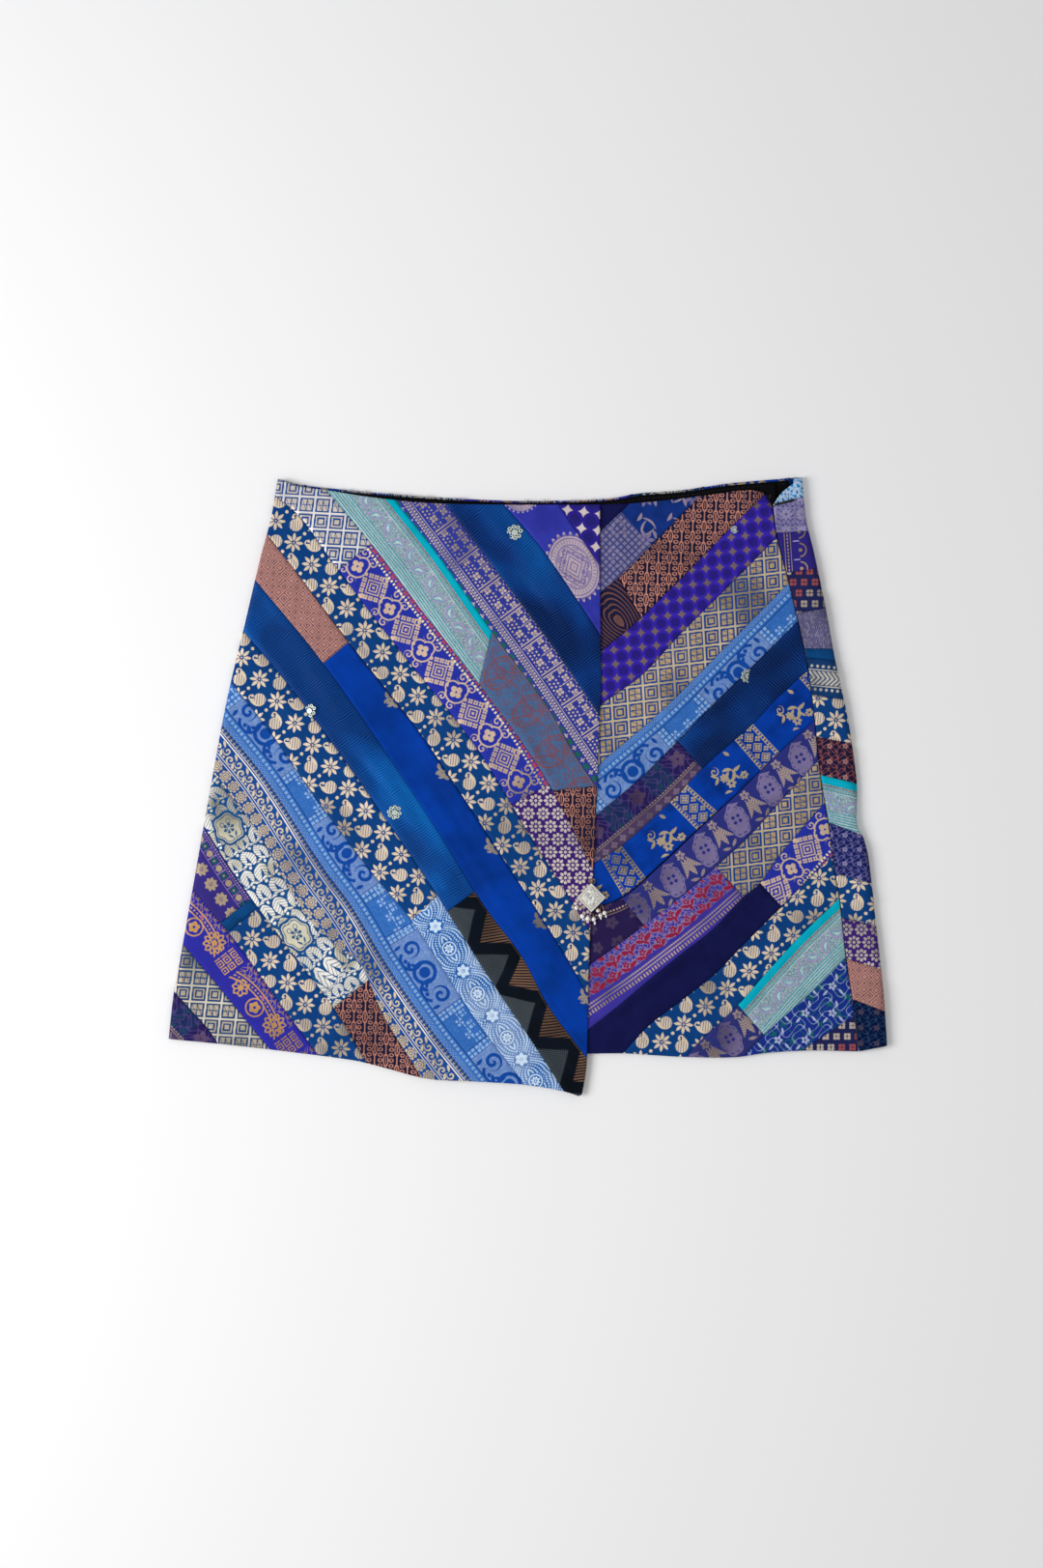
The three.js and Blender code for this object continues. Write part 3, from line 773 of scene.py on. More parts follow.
# Shapes that the motifs are made of: each gives a mask from 0 to 1, with lengths in millimetres
def filled(edge, soft=0.2):
    return calc("MULTIPLY_ADD", edge, 1.0 / soft, 0.5, clamp=True)


def disc(x, y, cx, cy, reach, soft=0.2):
    return within(radius(x - cx, y - cy), reach, soft)


def ring(x, y, cx, cy, reach, width, soft=0.2):
    return within(size(radius(x - cx, y - cy) - reach), width / 2, soft)


def arch(x, y, cx, cy, reach, width, facing, soft=0.2):
    # The half of a ring that lies towards one side
    c, s = math.cos(math.radians(facing)), math.sin(math.radians(facing))
    return ring(x, y, cx, cy, reach, width, soft) * beyond((x - cx) * c + (y - cy) * s, 0.0, soft)


def leaf(x, y, cx, cy, degrees, half, width, bend=0.0, soft=0.2):
    a, b = turned(x - cx, y - cy, degrees)
    share = a * (1.0 / half)
    share = share * share
    if bend:
        b = b - share * bend
    return filled(width - share * width - size(b), soft)


def petals(x, y, count, near, far, width, start=0.0, soft=0.2):
    r = radius(x, y)
    turn = repeat(bearing(x, y) + start, 2 * math.pi / count)
    share = (r * cosine(turn) - (near + far) / 2) * (2.0 / (far - near))
    return filled(width - share * share * width - size(r * sine(turn)), soft)


def box(x, y, cx, cy, halfX, halfY, soft=0.2):
    return filled(least(halfX - size(x - cx), halfY - size(y - cy)), soft)


def squareRing(x, y, reach, width, soft=0.2):
    return within(size(most(size(x), size(y)) - reach), width / 2, soft)


def diamondRing(x, y, reach, width, soft=0.2):
    return within(size(size(x) + size(y) - reach), width / 2, soft)


def coil(x, y, cx, cy, reach, pitch, width, hand=1.0, start=0.0, soft=0.2):
    dx, dy = x - cx, y - cy
    r = radius(dx, dy)
    drift = r - (bearing(dx, dy * hand) + start) * (pitch / (2 * math.pi))
    return lined(drift, pitch, width / 2, soft) * within(r, reach, soft)


def dashes(v, w, centre, width, pitch, share=0.5, soft=0.15):
    return stripe(v, centre, width, soft) * lined(w, pitch, pitch * share / 2, soft)


def anyOf(*masks):
    total = masks[0]
    for mask in masks[1:]:
        total = most(total, mask)
    return total


def foliage(x, y, *leafRows):
    return anyOf(*(leaf(x, y, *row) for row in leafRows))


def curls(x, y, period, width, soft=0.3, sway=1.25):
    # Looping stems all over the cloth, and the field between them
    k = 2 * math.pi / period
    wx = x + sine(y * k) * (sway / k)
    wy = y + sine(x * k + 1.3) * (sway / k)
    field = sine(wx * k) * sine(wy * k)
    return within(size(field), width * k * 0.5, soft * k * 0.5), field


def scattered(c, period):
    # Column, row, and the place within the cell of an even grid
    column, row = nearest(c.x * (1 / period)), nearest(c.y * (1 / period))
    return column, row, c.x - column * period, c.y - row * period


def drawPaisley(x, y, big):
    # Round body that rises to a fin on one side, and the fin's tip curls over into a bud
    x, y = x * (1.0 / big), y * (1.0 / big) - 1.5
    turn = bearing(y, x) * (0.5 / math.pi) + 0.5
    rise = turn * turn * turn
    body = filled(3.9 + rise * rise * 3.0 - radius(x, y), 0.2)
    hook = arch(x, y, -0.7, -5.5, 1.5, 0.85, -90)
    return anyOf(body, hook, disc(x, y, -1.9, -4.9, 0.95))


def paisleyFlower(c):
    pitch = 14.0
    column, row, x, y = scattered(c, pitch)
    odd = parity(column + row)
    even = 1.0 - odd
    bloom = anyOf(petals(x, y, 8, 1.2, 7.0, 1.12, soft=0.15), disc(x, y, 0.0, 0.0, 0.6))
    swap = parity(column)
    px = x * swap + y * (1.0 - swap)
    py = y * swap + x * (1.0 - swap)
    drop = drawPaisley(px, py, 1.08)
    hatch = lined(c.fineX, 1.75, 0.24, 0.12) * disc(px, py, 0.0, 1.8, 4.0)
    cornerX, cornerY = repeat(c.x - pitch / 2, pitch), repeat(c.y - pitch / 2, pitch)
    corner = parity(nearest((c.x - pitch / 2) * (1 / pitch)) + nearest((c.y - pitch / 2) * (1 / pitch)))
    dots = within(radius(cornerX, cornerY), 1.2, 0.25) * corner
    c.lay(anyOf(bloom * even, drop * odd * (1.0 - hatch * 0.85), dots), "#dccab2", metal=0.35)


def latticeCloth(c, light, deep, columns):
    pitch = 11.2
    x, y = (c.y, c.x) if columns else (c.x, c.y)
    row = nearest(y * (1 / pitch))
    fx, fy = repeat(x + y * 0.07, pitch), y - row * pitch
    odd = parity(row)
    reach = most(size(fx), size(fy))
    grid = beyond(reach, pitch / 2 - 0.7, 0.2)
    nested = anyOf(within(size(reach - 3.2), 0.5, 0.2), within(reach, 1.6, 0.2))
    crossed = anyOf(within(size(fx), 0.32, 0.15), within(size(fy), 0.32, 0.15),
                    within(size(size(fx - fy * 0.5) - 1.9), 0.2, 0.15))
    leaves = within(reach, 3.75, 0.2) * (1.0 - crossed)
    c.lay(nested * (1.0 - odd) + leaves * odd, deep, metal=0.5)
    c.lay(grid, light, metal=0.4)


def violetOgee(c):
    # From the guiding seam: squares of small flowers, ringed flowers, a dotted line, a red border
    period, ink = 37.6, "#ceb49e"
    x, y = c.x - 12.0, repeat(c.y, period)
    v = repeat(c.y - period / 2, period)
    p, q = turned(x * 0.86, v * 0.86, 54)
    clover = within(radius(size(repeat(p, 3.3)) - 0.72, size(repeat(q, 3.3)) - 0.72), 0.72, 0.2)
    wide = anyOf(box(p, q, 0.0, 0.0, 8.2, 4.9), box(p, q, 0.0, 0.0, 4.9, 8.2))
    heart = within(most(size(p), size(q)), 4.8, 0.2)
    block = anyOf(clover * wide * (1.0 - heart), squareRing(p, q, 3.9, 0.8), squareRing(p, q, 2.2, 0.8),
                  box(p, q, 0.0, 0.0, 0.8, 0.8),
                  box(size(p), size(q), 6.6, 6.6, 1.0, 1.0))
    a, b = turned(x * 0.86, y * 0.86, 54)
    bloom = without(within(radius(size(a) - 1.6, size(b) - 1.6), 1.75, 0.2), disc(a, b, 0.0, 0.0, 0.6))
    frame = anyOf(arch(a, b, 0.0, 0.4, 6.2, 0.95, 90), arch(a, b, -2.7, -2.0, 4.2, 0.95, 225),
                  arch(a, b, 2.7, -2.0, 4.2, 0.95, -45))
    swirls = anyOf(coil(x, y, 10.2, -4.4, 4.4, 3.0, 1.0, 1.0),
                   coil(x, y, 9.6, 5.2, 3.4, 2.6, 0.9, -1.0, 1.0),
                   coil(x, y, -9.2, 4.6, 3.4, 2.6, 0.9, 1.0, 2.0),
                   coil(x, y, -9.4, -4.4, 3.0, 2.4, 0.9, -1.0))
    arrow = without(leaf(x, v, 9.8, 1.0, 0, 3.0, 2.4), leaf(x, v, 9.6, 1.0, 0, 1.9, 1.2))
    c.lay(anyOf(block, bloom, frame, swirls, arrow, leaf(x, v, -10.4, -1.0, 0, 2.4, 1.6)), ink, metal=0.25)
    c.lay(dashes(c.x, c.y, 25.0, 1.6, 2.8, 0.56), "#e8d9b6", metal=0.3)
    bits = anyOf(petals(c.x - 28.6, repeat(c.y, 7.4), 5, 0.3, 2.6, 0.9),
                 disc(c.x, repeat(c.y - 3.7, 7.4), 30.0, 0.0, 0.9))
    c.lay(bits, "#b04a62")
    c.lay(disc(c.x, repeat(c.y - 3.7, 7.4), 27.6, 0.0, 1.0), "#bd8a72")


def squaresBorder(c):
    # From the upper seam: flowers between cross lines, small grains, dashed rails, a green chain
    ink = "#cbb6aa"
    period = 25.2
    near = within(c.x, 17.6)
    fromLong = repeat(c.y - 12.6, period)
    long = anyOf(stripe(fromLong, 1.1, 0.75), stripe(fromLong, -1.1, 0.75)) * near
    short = stripe(repeat(c.y, period), 0.0, 0.75) * within(c.x, 9.6)
    clear = beyond(size(fromLong), 1.9)
    fx, fy = repeat(c.x - 4.4, 6.3), repeat(c.y - 3.15, 6.3)
    flowers = anyOf(within(radius(size(fx) - 1.25, size(fy) - 1.25), 1.0, 0.2), disc(fx, fy, 0.0, 0.0, 0.5),
                    disc(size(fx), size(fy), 3.15, 3.15, 0.55))
    flowers = flowers * within(c.x, 8.4)
    shift = nearest(c.x * (1 / 2.7)) * 1.35
    grains = within(radius(repeat(c.x, 2.7), repeat(c.y + shift, 2.7)), 0.74, 0.25)
    heapY = repeat(c.y - 3.15, 12.6)
    heap = without(within(radius(size(repeat(c.x - 13.0, 20.0)) - 1.2, size(heapY) - 1.2), 1.15),
                   within(c.x, 9.4))
    grains = grains * beyond(c.x, 9.2) * within(c.x, 18.2)
    grains = without(grains, within(radius(c.x - 13.0, heapY), 3.6))
    c.lay(anyOf(anyOf(flowers, grains, heap * within(c.x, 17.0)) * clear, long, short), ink, metal=0.2)
    rails = anyOf(dashes(c.x, c.y, 20.6, 1.5, 2.3, 0.6), dashes(c.x, c.y + 1.1, 23.4, 1.5, 2.3, 0.6))
    c.lay(anyOf(rails, stripe(c.x, 19.0, 0.5), stripe(c.x, 22.0, 0.5)), "#cdbcb4", metal=0.2)
    c.lay(box(repeat(c.y, 10.4), c.x, 0.0, 27.0, 2.1, 1.6), "#1c5c50")
    c.lay(anyOf(box(repeat(c.y - 5.2, 10.4), c.x, 0.0, 26.8, 0.5, 1.9),
                box(repeat(c.y - 5.2, 10.4), c.x, 0.0, 26.8, 1.7, 0.4)),
          "#b7a6a6", metal=0.2)


def turquoisePaisley(c):
    # From the upper seam: bright edge, copper line, pinstripes, drawn paisleys, pinstripes
    band = within(size(c.x - 16.6), 6.2)
    outside = (1.0 - band) * beyond(c.x, 6.4)
    period = 12.4
    y = repeat(c.y, period)
    flip = parity(nearest(c.y * (1 / period))) * 2.0 - 1.0
    x = (c.x - 16.8) * flip + c.noise(0.3, 1.0) * 1.2 - 0.6
    drop = leaf(x, y, -0.4, 0.0, 48, 6.8, 3.0, 2.6)
    inner = leaf(x, y, -0.4, 0.2, 48, 5.4, 2.0, 2.4)
    heart = leaf(x, y, -0.2, 0.4, 48, 3.4, 0.9, 1.4)
    specks = c.noise(1.1, 3.0)
    c.lay(beyond(specks, 0.54, 0.08) * 0.6, "#4f6c78", raised=0.3)
    c.lay(within(specks, 0.44, 0.08) * 0.6, "#b9c9c6", raised=0.3)
    c.lay(within(c.noise(0.8, 2.0, 1.0, 0.6), 0.40, 0.06) * band * 0.7, "#8c7b9c")
    c.lay(lined(c.x, 1.8, 0.4, 0.2) * outside * 0.9, "#2f98aa", raised=0.3)
    c.lay(lined(c.x - 0.9, 1.8, 0.28, 0.2) * outside * 0.9, "#ccd6d2", metal=0.3)
    c.lay(dashes(c.x, c.y, 8.2, 0.9, 1.8, 0.5) * 0.8, "#5c5a63")
    c.lay(inner * band * 0.45, "#45a3b0")
    c.lay(anyOf(without(drop, inner), arch(x, y, 3.6, 4.6, 2.2, 0.7, 20)) * band * 0.9, "#a58cc0",
          raised=0.5)
    c.lay(anyOf(heart, arch(x, y, -4.6, -4.4, 1.8, 0.7, 200)) * band * 0.85, "#c3d2d4", metal=0.2)
    c.lay(within(c.x, 5.3, 0.2), "#02a5bd", raised=0.5)
    c.lay(stripe(c.x, 5.9, 0.8), "#8d6258", metal=0.3)
    c.lay(stripe(c.x, 4.6, 0.5) * 0.5, "#0b7f96")


def greyOutline(c):
    period = 34.0
    x, y = c.x - 13.0, repeat(c.y - 6.0, period)
    a, b = turned(x, y, 12)
    oval = radius(a * 0.74, b)
    fine, _ = curls(c.x, c.y, 8.5, 0.7, 0.4, 1.5)
    blooms = petals(repeat(c.x - 4.0, 9.0), repeat(c.y, 8.5), 6, 0.6, 3.0, 0.6)
    stems = anyOf(ring(x, y, 15.0, 17.0, 19.0, 0.9), ring(x, y, -17.0, -6.0, 15.0, 0.9))
    c.lay(anyOf(fine * 0.5, blooms * 0.75), "#68485a")
    c.lay(anyOf(within(size(oval - 9.4), 0.5, 0.2), within(size(oval - 7.4), 0.3, 0.2), stems), "#764a54",
          raised=0.5)
    c.lay(petals(a, b, 8, 1.0, 5.6, 1.1) * 0.8, "#6c4d62")
    c.lay(stripe(c.x, 0.9, 0.9), "#7a6a7c", metal=0.2)


def copperKnots(c):
    # Columns of tall double links between columns of small curled links
    column = nearest(c.x * (1 / 3.9))
    x = c.x - column * 3.9
    odd = parity(column)
    shift = parity(nearest(c.x * (1 / 7.8))) * 7.5
    small = repeat(c.y, 3.75)
    long = repeat(c.y + shift, 15.0)
    curl = anyOf(within(size(radius(x * 0.8, small) - 1.1), 0.3, 0.2), box(x, small, -0.9, 0.5, 0.6, 0.3))
    oval = anyOf(within(size(radius(x * 1.6, long * 0.66) - 2.6), 0.5, 0.25),
                 box(x, long, 0.0, 0.0, 0.35, 2.2),
                 within(size(x), 0.4, 0.2) * beyond(size(long), 4.2))
    c.lay(curl * odd + oval * (1.0 - odd), "#c38472", metal=0.2)


def copperDiamonds(c):
    # Copper cloth with dark lines: nested diamonds in rows
    pitch = 8.6
    x, y = repeat(c.x, pitch), repeat(c.y, pitch)
    net = size(x) + size(y)
    rings = lined(net, 2.15, 0.42, 0.25)
    c.lay(rings * 0.9, "#553a4c")
    c.lay(within(net, 0.9, 0.3), "#553a4c")


def satinRows(c, dark, light):
    # broad bands of painted shade (the dark colour) and painted sheen (the light colour) stand in for soft
    # folds turning the satin to and from the light; then the weave's rows
    paintedSheenBands = c.noise(0.022, 1.5, 1.0, 0.6)
    c.lay(beyond(paintedSheenBands, 0.5, 0.14) * 0.9, dark, raised=0.0)
    c.lay(within(paintedSheenBands, 0.38, 0.16), light, raised=0.0)
    sway = c.noise(0.12, 1.0) * 3.0
    weftRow = lined(c.fineY + sway, 1.7, 0.42, 0.4)
    c.lay(weftRow * 0.5, "#010f3c", raised=0.0)
    c.lay(lined(c.fineY + sway - 0.85, 1.7, 0.25, 0.3) * lined(c.fineX, 1.3, 0.4, 0.3) * 0.3,
          "#0a74cc", raised=0.4)


def royalPlain(c):
    # Plain cloth with broad patches of painted shade, and a stepped spray on its upper seam every 63 mm
    y, x = repeat(c.y - 21.0, 62.5), c.x
    spray = anyOf(petals(x - 2.4, y, 6, 0.3, 3.2, 0.9),
                  foliage(x, y, (1.6, -4.6, 70, 2.8, 1.3), (1.6, 4.4, 110, 2.8, 1.3),
                          (4.9, -1.9, 20, 2.0, 0.9), (4.6, 2.4, -30, 2.2, 0.9)))
    # darker broad patches: painted shade of soft wrinkles
    c.cloud(0.03, 0.52, 0.2, 0.6, "#012a72")
    c.lay(spray, "#958c80", metal=0.3)


def scrollBorder(c):
    # From the guiding seam: feathered edge, a row of squares, a line, then panels of scrolls and of flowers
    period, ink = 100.0, "#0f459a"
    y = repeat(c.y - 24.0, period)
    x = c.x - 17.4
    zone = beyond(c.x, 8.9)
    panel = beyond(size(y), 30.5, 0.3)
    ends = within(size(size(y) - 33.0), 2.9)
    grey = c.noise(0.7, 3.0)
    c.lay(zone * (1.0 - panel), "#6182bd", raised=0.4)
    c.lay(beyond(grey, 0.53, 0.1) * zone * (1.0 - panel) * 0.5, "#88a0c8", raised=0.4)
    side = size(y) - 18.5
    head = anyOf(coil(x, side, 2.0, 1.0, 6.6, 5.2, 2.5, -1.0, 0.6),
                 arch(x, side, -1.4, -5.2, 7.6, 2.2, -150))
    sprig = anyOf(foliage(x, side, (-5.4, -8.6, 60, 3.6, 1.5), (-2.2, -10.6, 120, 3.2, 1.3)),
                  disc(x, side, -5.8, -4.6, 1.5),
                  leaf(x, side, -5.6, 6.6, 10, 3.2, 1.3))
    wheel = anyOf(ring(x, y, 1.4, 0.0, 7.4, 2.7), disc(x, y, 1.4, 0.0, 4.0))
    c.lay(anyOf(head, sprig, wheel) * zone * (1.0 - panel), ink, raised=0.2)
    square = within(most(size(repeat(c.y, 3.4)), size(repeat(c.x - 5.9, 3.4))), 1.1, 0.2)
    along = size(repeat(c.y - 24.0 - period / 2, 11.4))
    bloom = anyOf(within(radius(size(x - 1.2) - 1.5, along - 1.5), 1.0, 0.2), disc(x, along, 1.2, 0.0, 0.5))
    c.lay(beyond(grey, 0.55, 0.1) * panel * zone * 0.35, "#4f7dc0", raised=0.2)
    c.lay(bloom * panel * zone, "#8cabd8", raised=0.4)
    c.lay(square * stripe(c.x, 5.9, 3.0), "#7da0cf", raised=0.4)
    c.lay(within(most(size(repeat(c.x, 3.4)), size(repeat(size(y) - 31.3, 3.4))), 1.1) * ends * zone,
          "#86a8d4", raised=0.4)
    c.lay(square * panel * within(size(c.x - 22.9), 3.2) * beyond(along, 2.2), "#86a8d4", raised=0.4)
    zigzag = within(size(repeat(c.x + size(repeat(c.y, 3.4)) * 1.5, 2.3)), 0.5, 0.3)
    c.lay(zigzag * within(c.x, 3.7), "#6d90c6")
    c.lay(anyOf(stripe(c.x, 8.4, 0.6), stripe(size(y), 30.0, 0.5) * zone, stripe(size(y), 36.2, 0.5)
                * zone), "#123f8c")


def vineBand(c):
    # From the upper seam: double rails, a vine of scrolls, double rails, then gold fans with blue outlines
    ink = "#d6c7ac"
    y = repeat(c.y, 12.6)
    x = c.x - 10.4
    scroll = anyOf(coil(x, y, 1.2, -2.6, 3.3, 3.0, 1.25, 1.0), coil(x, y, -1.2, 3.7, 3.0, 2.8, 1.15, -1.0),
                   foliage(x, y, (2.8, 1.8, 40, 3.0, 1.0), (-3.2, -1.4, 60, 2.8, 0.9)),
                   disc(x, y, 3.2, 5.0, 0.9))
    rails = anyOf(stripe(c.x, 3.6, 0.65), stripe(c.x, 5.2, 0.65), stripe(c.x, 15.4, 0.65),
                  stripe(c.x, 17.0, 0.65))
    c.lay(rails, "#f0e9de", metal=0.1)
    c.lay(scroll * beyond(c.x, 5.9) * within(c.x, 14.8), ink, metal=0.2)
    row = nearest((c.x - 21.6) * (1 / 7.8))
    fx, fy = c.x - 21.6 - row * 7.8, repeat(c.y + parity(row) * 4.9, 9.8)
    scallops = within(radius(fx, fy) + cosine(bearing(fx, fy) * 8.0) * 0.45, 4.1, 0.2)
    lines = anyOf(ring(fx, fy, 0.0, 0.0, 2.7, 0.5), ring(fx, fy, 0.0, 0.0, 1.2, 0.45),
                  petals(fx, fy, 8, 2.9, 4.2, 0.22))
    c.lay(without(scallops, lines) * beyond(c.x, 17.6), "#cbb896", metal=0.25)
    c.lay(within(radius(repeat(c.x, 2.4), repeat(c.y, 3.1)), 0.9, 0.3) * within(c.x, 2.9), "#b3a48c",
          metal=0.3)


def largeLeaf(c):
    # Dense hatched leaves that lean to and fro, buds between them, a scalloped cartouche every 88 mm
    sway = c.noise(0.045, 1.0) * 9.0
    row = nearest(c.y * (1 / 13.0))
    odd = parity(row)
    u, v = repeat(c.x + sway - odd * 5.2, 10.4) * (1.0 - odd * 2.0), c.y - row * 13.0
    leaves = foliage(u, v, (-2.3, 0.0, 74, 7.8, 2.4, 2.8), (2.9, -1.2, 104, 6.6, 1.9, -2.4),
                     (1.2, 5.6, 150, 2.8, 1.0, 0.6))
    buds = anyOf(disc(u, v, 0.6, -5.6, 1.1), disc(u, v, -4.8, 5.2, 0.9), disc(u, v, 4.6, 4.6, 0.9))
    ribs = within(size(repeat(c.fineY + size(repeat(c.fineX + sway, 10.4)) * 0.6, 2.1)), 0.27, 0.15)
    x, y = c.x - 14.5, repeat(c.y - 38.0, 88.0)
    edge = radius(x, y * 0.84) - cosine(bearing(x, y) * 6.0) * 0.7
    rim, shield = within(edge, 10.8, 0.3), within(edge, 9.2, 0.3)
    drawn = anyOf(within(size(edge - 8.1), 0.3, 0.2), ring(x, y, 0.0, 0.0, 1.3, 0.5),
                  petals(x, y, 6, 1.5, 4.3, 1.2),
                  ring(size(x), y, 2.6, -4.8, 1.5, 0.5), leaf(size(x), y, 2.0, 6.0, 120, 2.4, 0.7))
    # broad tan patches over the leaves are painted shade of the metal threads
    gold = beyond(c.noise(0.04, 1.0), 0.54, 0.12)
    c.lay(anyOf(leaves, buds) * (1.0 - rim), "#efece4", metal=0.15)
    c.lay(gold * leaves * (1.0 - rim) * 0.75, "#b3a985", metal=0.3)
    c.lay(ribs * leaves * (1.0 - rim) * 0.8, "#3c5c80")
    c.lay(shield, "#d2ccb4", metal=0.25)
    c.lay(drawn * shield, "#2f5580")


def purpleSquares(c):
    # Gold flowers beside a chain of framed green squares
    y = repeat(c.y, 12.2)
    bloom = anyOf(petals(c.x - 17.5, y, 8, 0.9, 5.0, 1.3), disc(c.x, y, 17.5, 0.0, 0.8))
    frameLines = anyOf(stripe(c.x, 3.2, 0.6), stripe(c.x, 10.4, 0.6),
                       stripe(repeat(c.y - 3.05, 6.1), 0.0, 0.6) * within(size(c.x - 6.8), 3.4))
    cells = box(repeat(c.y, 12.2), c.x, 0.0, 6.8, 2.1, 2.1)
    coins = within(radius(c.x - 6.8, repeat(c.y - 6.1, 12.2)), 2.3, 0.2)
    c.lay(frameLines, "#8a74a0", metal=0.2)
    c.lay(cells, "#0e5450")
    c.lay(disc(c.x, repeat(c.y, 12.2), 6.8, 0.0, 0.7), "#b87a96")
    c.lay(anyOf(coins, bloom), "#a4927c", metal=0.35)
    c.lay(dashes(c.x, c.y, 1.6, 1.0, 2.0, 0.55), "#a79ab4", metal=0.2)


def tealPlain(c):
    c.cloud(0.1, 0.55, 0.2, 0.5, "#02204c")
    c.lay(lined(c.fineY, 1.4, 0.3, 0.3) * 0.2, "#1f6c98")


def arabesque(c):
    # A beaded double curve with flowers and buds beside it, then framed flower squares
    ink = "#c4965e"
    period = 72.0
    y = repeat(c.y - 20.0, period)
    x = c.x - 12.0
    bow = radius(x - 20.0, y * 0.62) - 24.0
    inside = within(size(y), 27.0, 0.3)
    rails = anyOf(within(size(size(bow) - 2.2), 0.5, 0.2), within(size(bow), 0.5, 0.2)
                  * beyond(sine(c.y * 2.2), 0.0, 0.4))
    lines, _ = curls(c.x, c.y, 9.5, 0.8, 0.3, 1.5)
    bloom = anyOf(without(petals(x - 4.0, y + 16.0, 7, 0.4, 6.6, 2.4),
                          petals(x - 4.0, y + 16.0, 7, 1.8, 5.2, 1.1)),
                  disc(x, y, 4.0, -16.0, 1.3))
    heart = without(petals(x - 4.0, y - 1.0, 5, 0.3, 4.4, 1.8), disc(x, y, 4.0, 1.0, 1.0))
    heart = anyOf(ring(x, y, 4.0, 1.0, 6.2, 1.0), heart)
    star = anyOf(without(petals(x, y - 19.0, 10, 2.8, 8.6, 2.0), petals(x, y - 19.0, 10, 4.2, 7.2, 0.9)),
                 disc(x, y, 0.0, 19.0, 2.0))
    busy = anyOf(within(radius(x - 4.0, y + 16.0), 7.4), within(radius(x - 4.0, y - 1.0), 7.2),
                 within(radius(x, y - 19.0), 9.4))
    squares = anyOf(squareRing(repeat(x, 6.0), repeat(c.y, 6.0), 2.0, 0.9),
                    disc(repeat(x, 6.0), repeat(c.y, 6.0), 0.0, 0.0, 0.7))
    squares = squares * beyond(size(y), 29.5) * within(size(x), 8.0)
    c.lay(lines * inside * (1.0 - busy) * beyond(bow, 3.0) * 0.9, "#9c7a72", metal=0.2)
    c.lay(anyOf(rails * inside, bloom, heart, star, squares), ink, metal=0.3)
    c.lay(disc(x, y, -4.5, -1.0, 1.2), "#a85a8c")


def darkBrocade(c):
    # Dim cloth in blocks of violet-brown and green-blue, with a gold double line
    block = parity(nearest(c.y * (1 / 19.0)))
    lines, field = curls(c.x, c.y, 15.0, 1.0, 0.5, 1.4)
    blooms = petals(repeat(c.x - 8.0, 15.0), repeat(c.y, 19.0), 5, 0.6, 6.2, 2.2, soft=0.6)
    c.lay(block * within(c.x, 17.4) * 0.8, "#182c58", raised=0.0)
    c.lay(lines * 0.5, "#54467a")
    c.lay(blooms * 0.7 * (1.0 - block), "#66506c", metal=0.15)
    c.lay(beyond(field, 0.55, 0.15) * block * 0.5, "#1e4a58")
    c.lay(beyond(c.x, 17.6), "#4a3a5c", raised=0.0)
    c.lay(anyOf(dashes(c.x, c.y, 17.8, 1.0, 2.4, 0.6), stripe(c.x, 19.4, 0.6)), "#9c8878", metal=0.3)
    c.lay(petals(repeat(c.y - 4.0, 8.0), c.x - 23.4, 4, 0.2, 2.9, 1.1) * 0.8, "#7d6b80", metal=0.2)


def blueWhite(c):
    # Nested scalloped ogees around ringed rosettes, like lace
    period = 37.0
    x, y = c.x - 12.5, repeat(c.y - 8.0, period)
    v = repeat(c.y - 8.0 - period / 2, period)
    net = size(x) + size(y) * 0.7 + cosine(size(y) * 0.34) * 1.7
    lines = lined(net, 2.6, 0.66, 0.3)
    teeth = beyond(sine((size(x) * 0.7 - size(y)) * 3.1), -0.2, 0.5)
    whole = parity(nearest(net * (1 / 5.2)))
    rosette = anyOf(ring(x, y, 0.0, 0.0, 4.6, 0.9), petals(x, y, 8, 0.9, 3.6, 0.8),
                    disc(x, y, 0.0, 0.0, 0.6))
    flower = anyOf(petals(x, v, 6, 0.8, 5.0, 1.5), disc(x, v, 0.0, 0.0, 0.7))
    clear = beyond(radius(x, y), 5.9, 0.3) * beyond(radius(x, v), 5.6, 0.3)
    ink = "#b6cfe8"
    c.lay(lines * most(teeth, whole) * clear, ink, raised=0.6)
    c.lay(anyOf(rosette, flower), "#c6daee", raised=0.6)
    c.lay(beyond(c.noise(0.04, 1.0), 0.5, 0.15) * 0.2, "#d4e2f0", raised=0.0)


def darkTriangles(c):
    # Black bands slant to and fro between copper hatched wedges above and grey ones below
    half = 19.7
    y = size(repeat(c.y - 4.0, 2 * half)) * (1.0 / half)
    middle = y * 24.0 + 0.4
    above = filled(middle - 7.0 - c.x, 1.4)
    below = filled(c.x - middle - 6.4, 1.4)
    hatch = beyond(sine((c.fineY * 0.9 + c.fineX * 0.5) * 3.1), -0.1, 0.5)
    cells = beyond(sine(c.fineX * 3.2) * sine(c.fineY * 3.2), -0.15, 0.4)
    grey = parity(nearest((c.y - 4.0) * (0.5 / half)))
    c.lay(above * hatch * 0.9, "#86644e", metal=0.2)
    c.lay(below * (0.45 + grey * 0.55), "#2c343b")
    c.lay(below * cells * 0.6, "#4a5258")
    c.lay(stripe(c.x, 0.6, 0.6) * 0.6, "#8a6a55", metal=0.3)
    c.lay(beyond(c.noise(0.05, 2.0), 0.5, 0.2) * (1.0 - above) * (1.0 - below) * 0.6, "#05090f", raised=0.0)


def linkedRings(c, star, ringInk, puffed, pitch):
    # Rings that touch, with a hollow-sided star between each four
    half = pitch / 2
    corner = radius(size(repeat(c.x, pitch)) - half, size(repeat(c.y, pitch)) - half)
    c.lay(within(size(corner - half * 0.84), half * 0.19, 0.4), ringInk, raised=puffed)
    c.lay(beyond(corner, half * 1.045, 0.25), star, metal=0.2, raised=0.0)


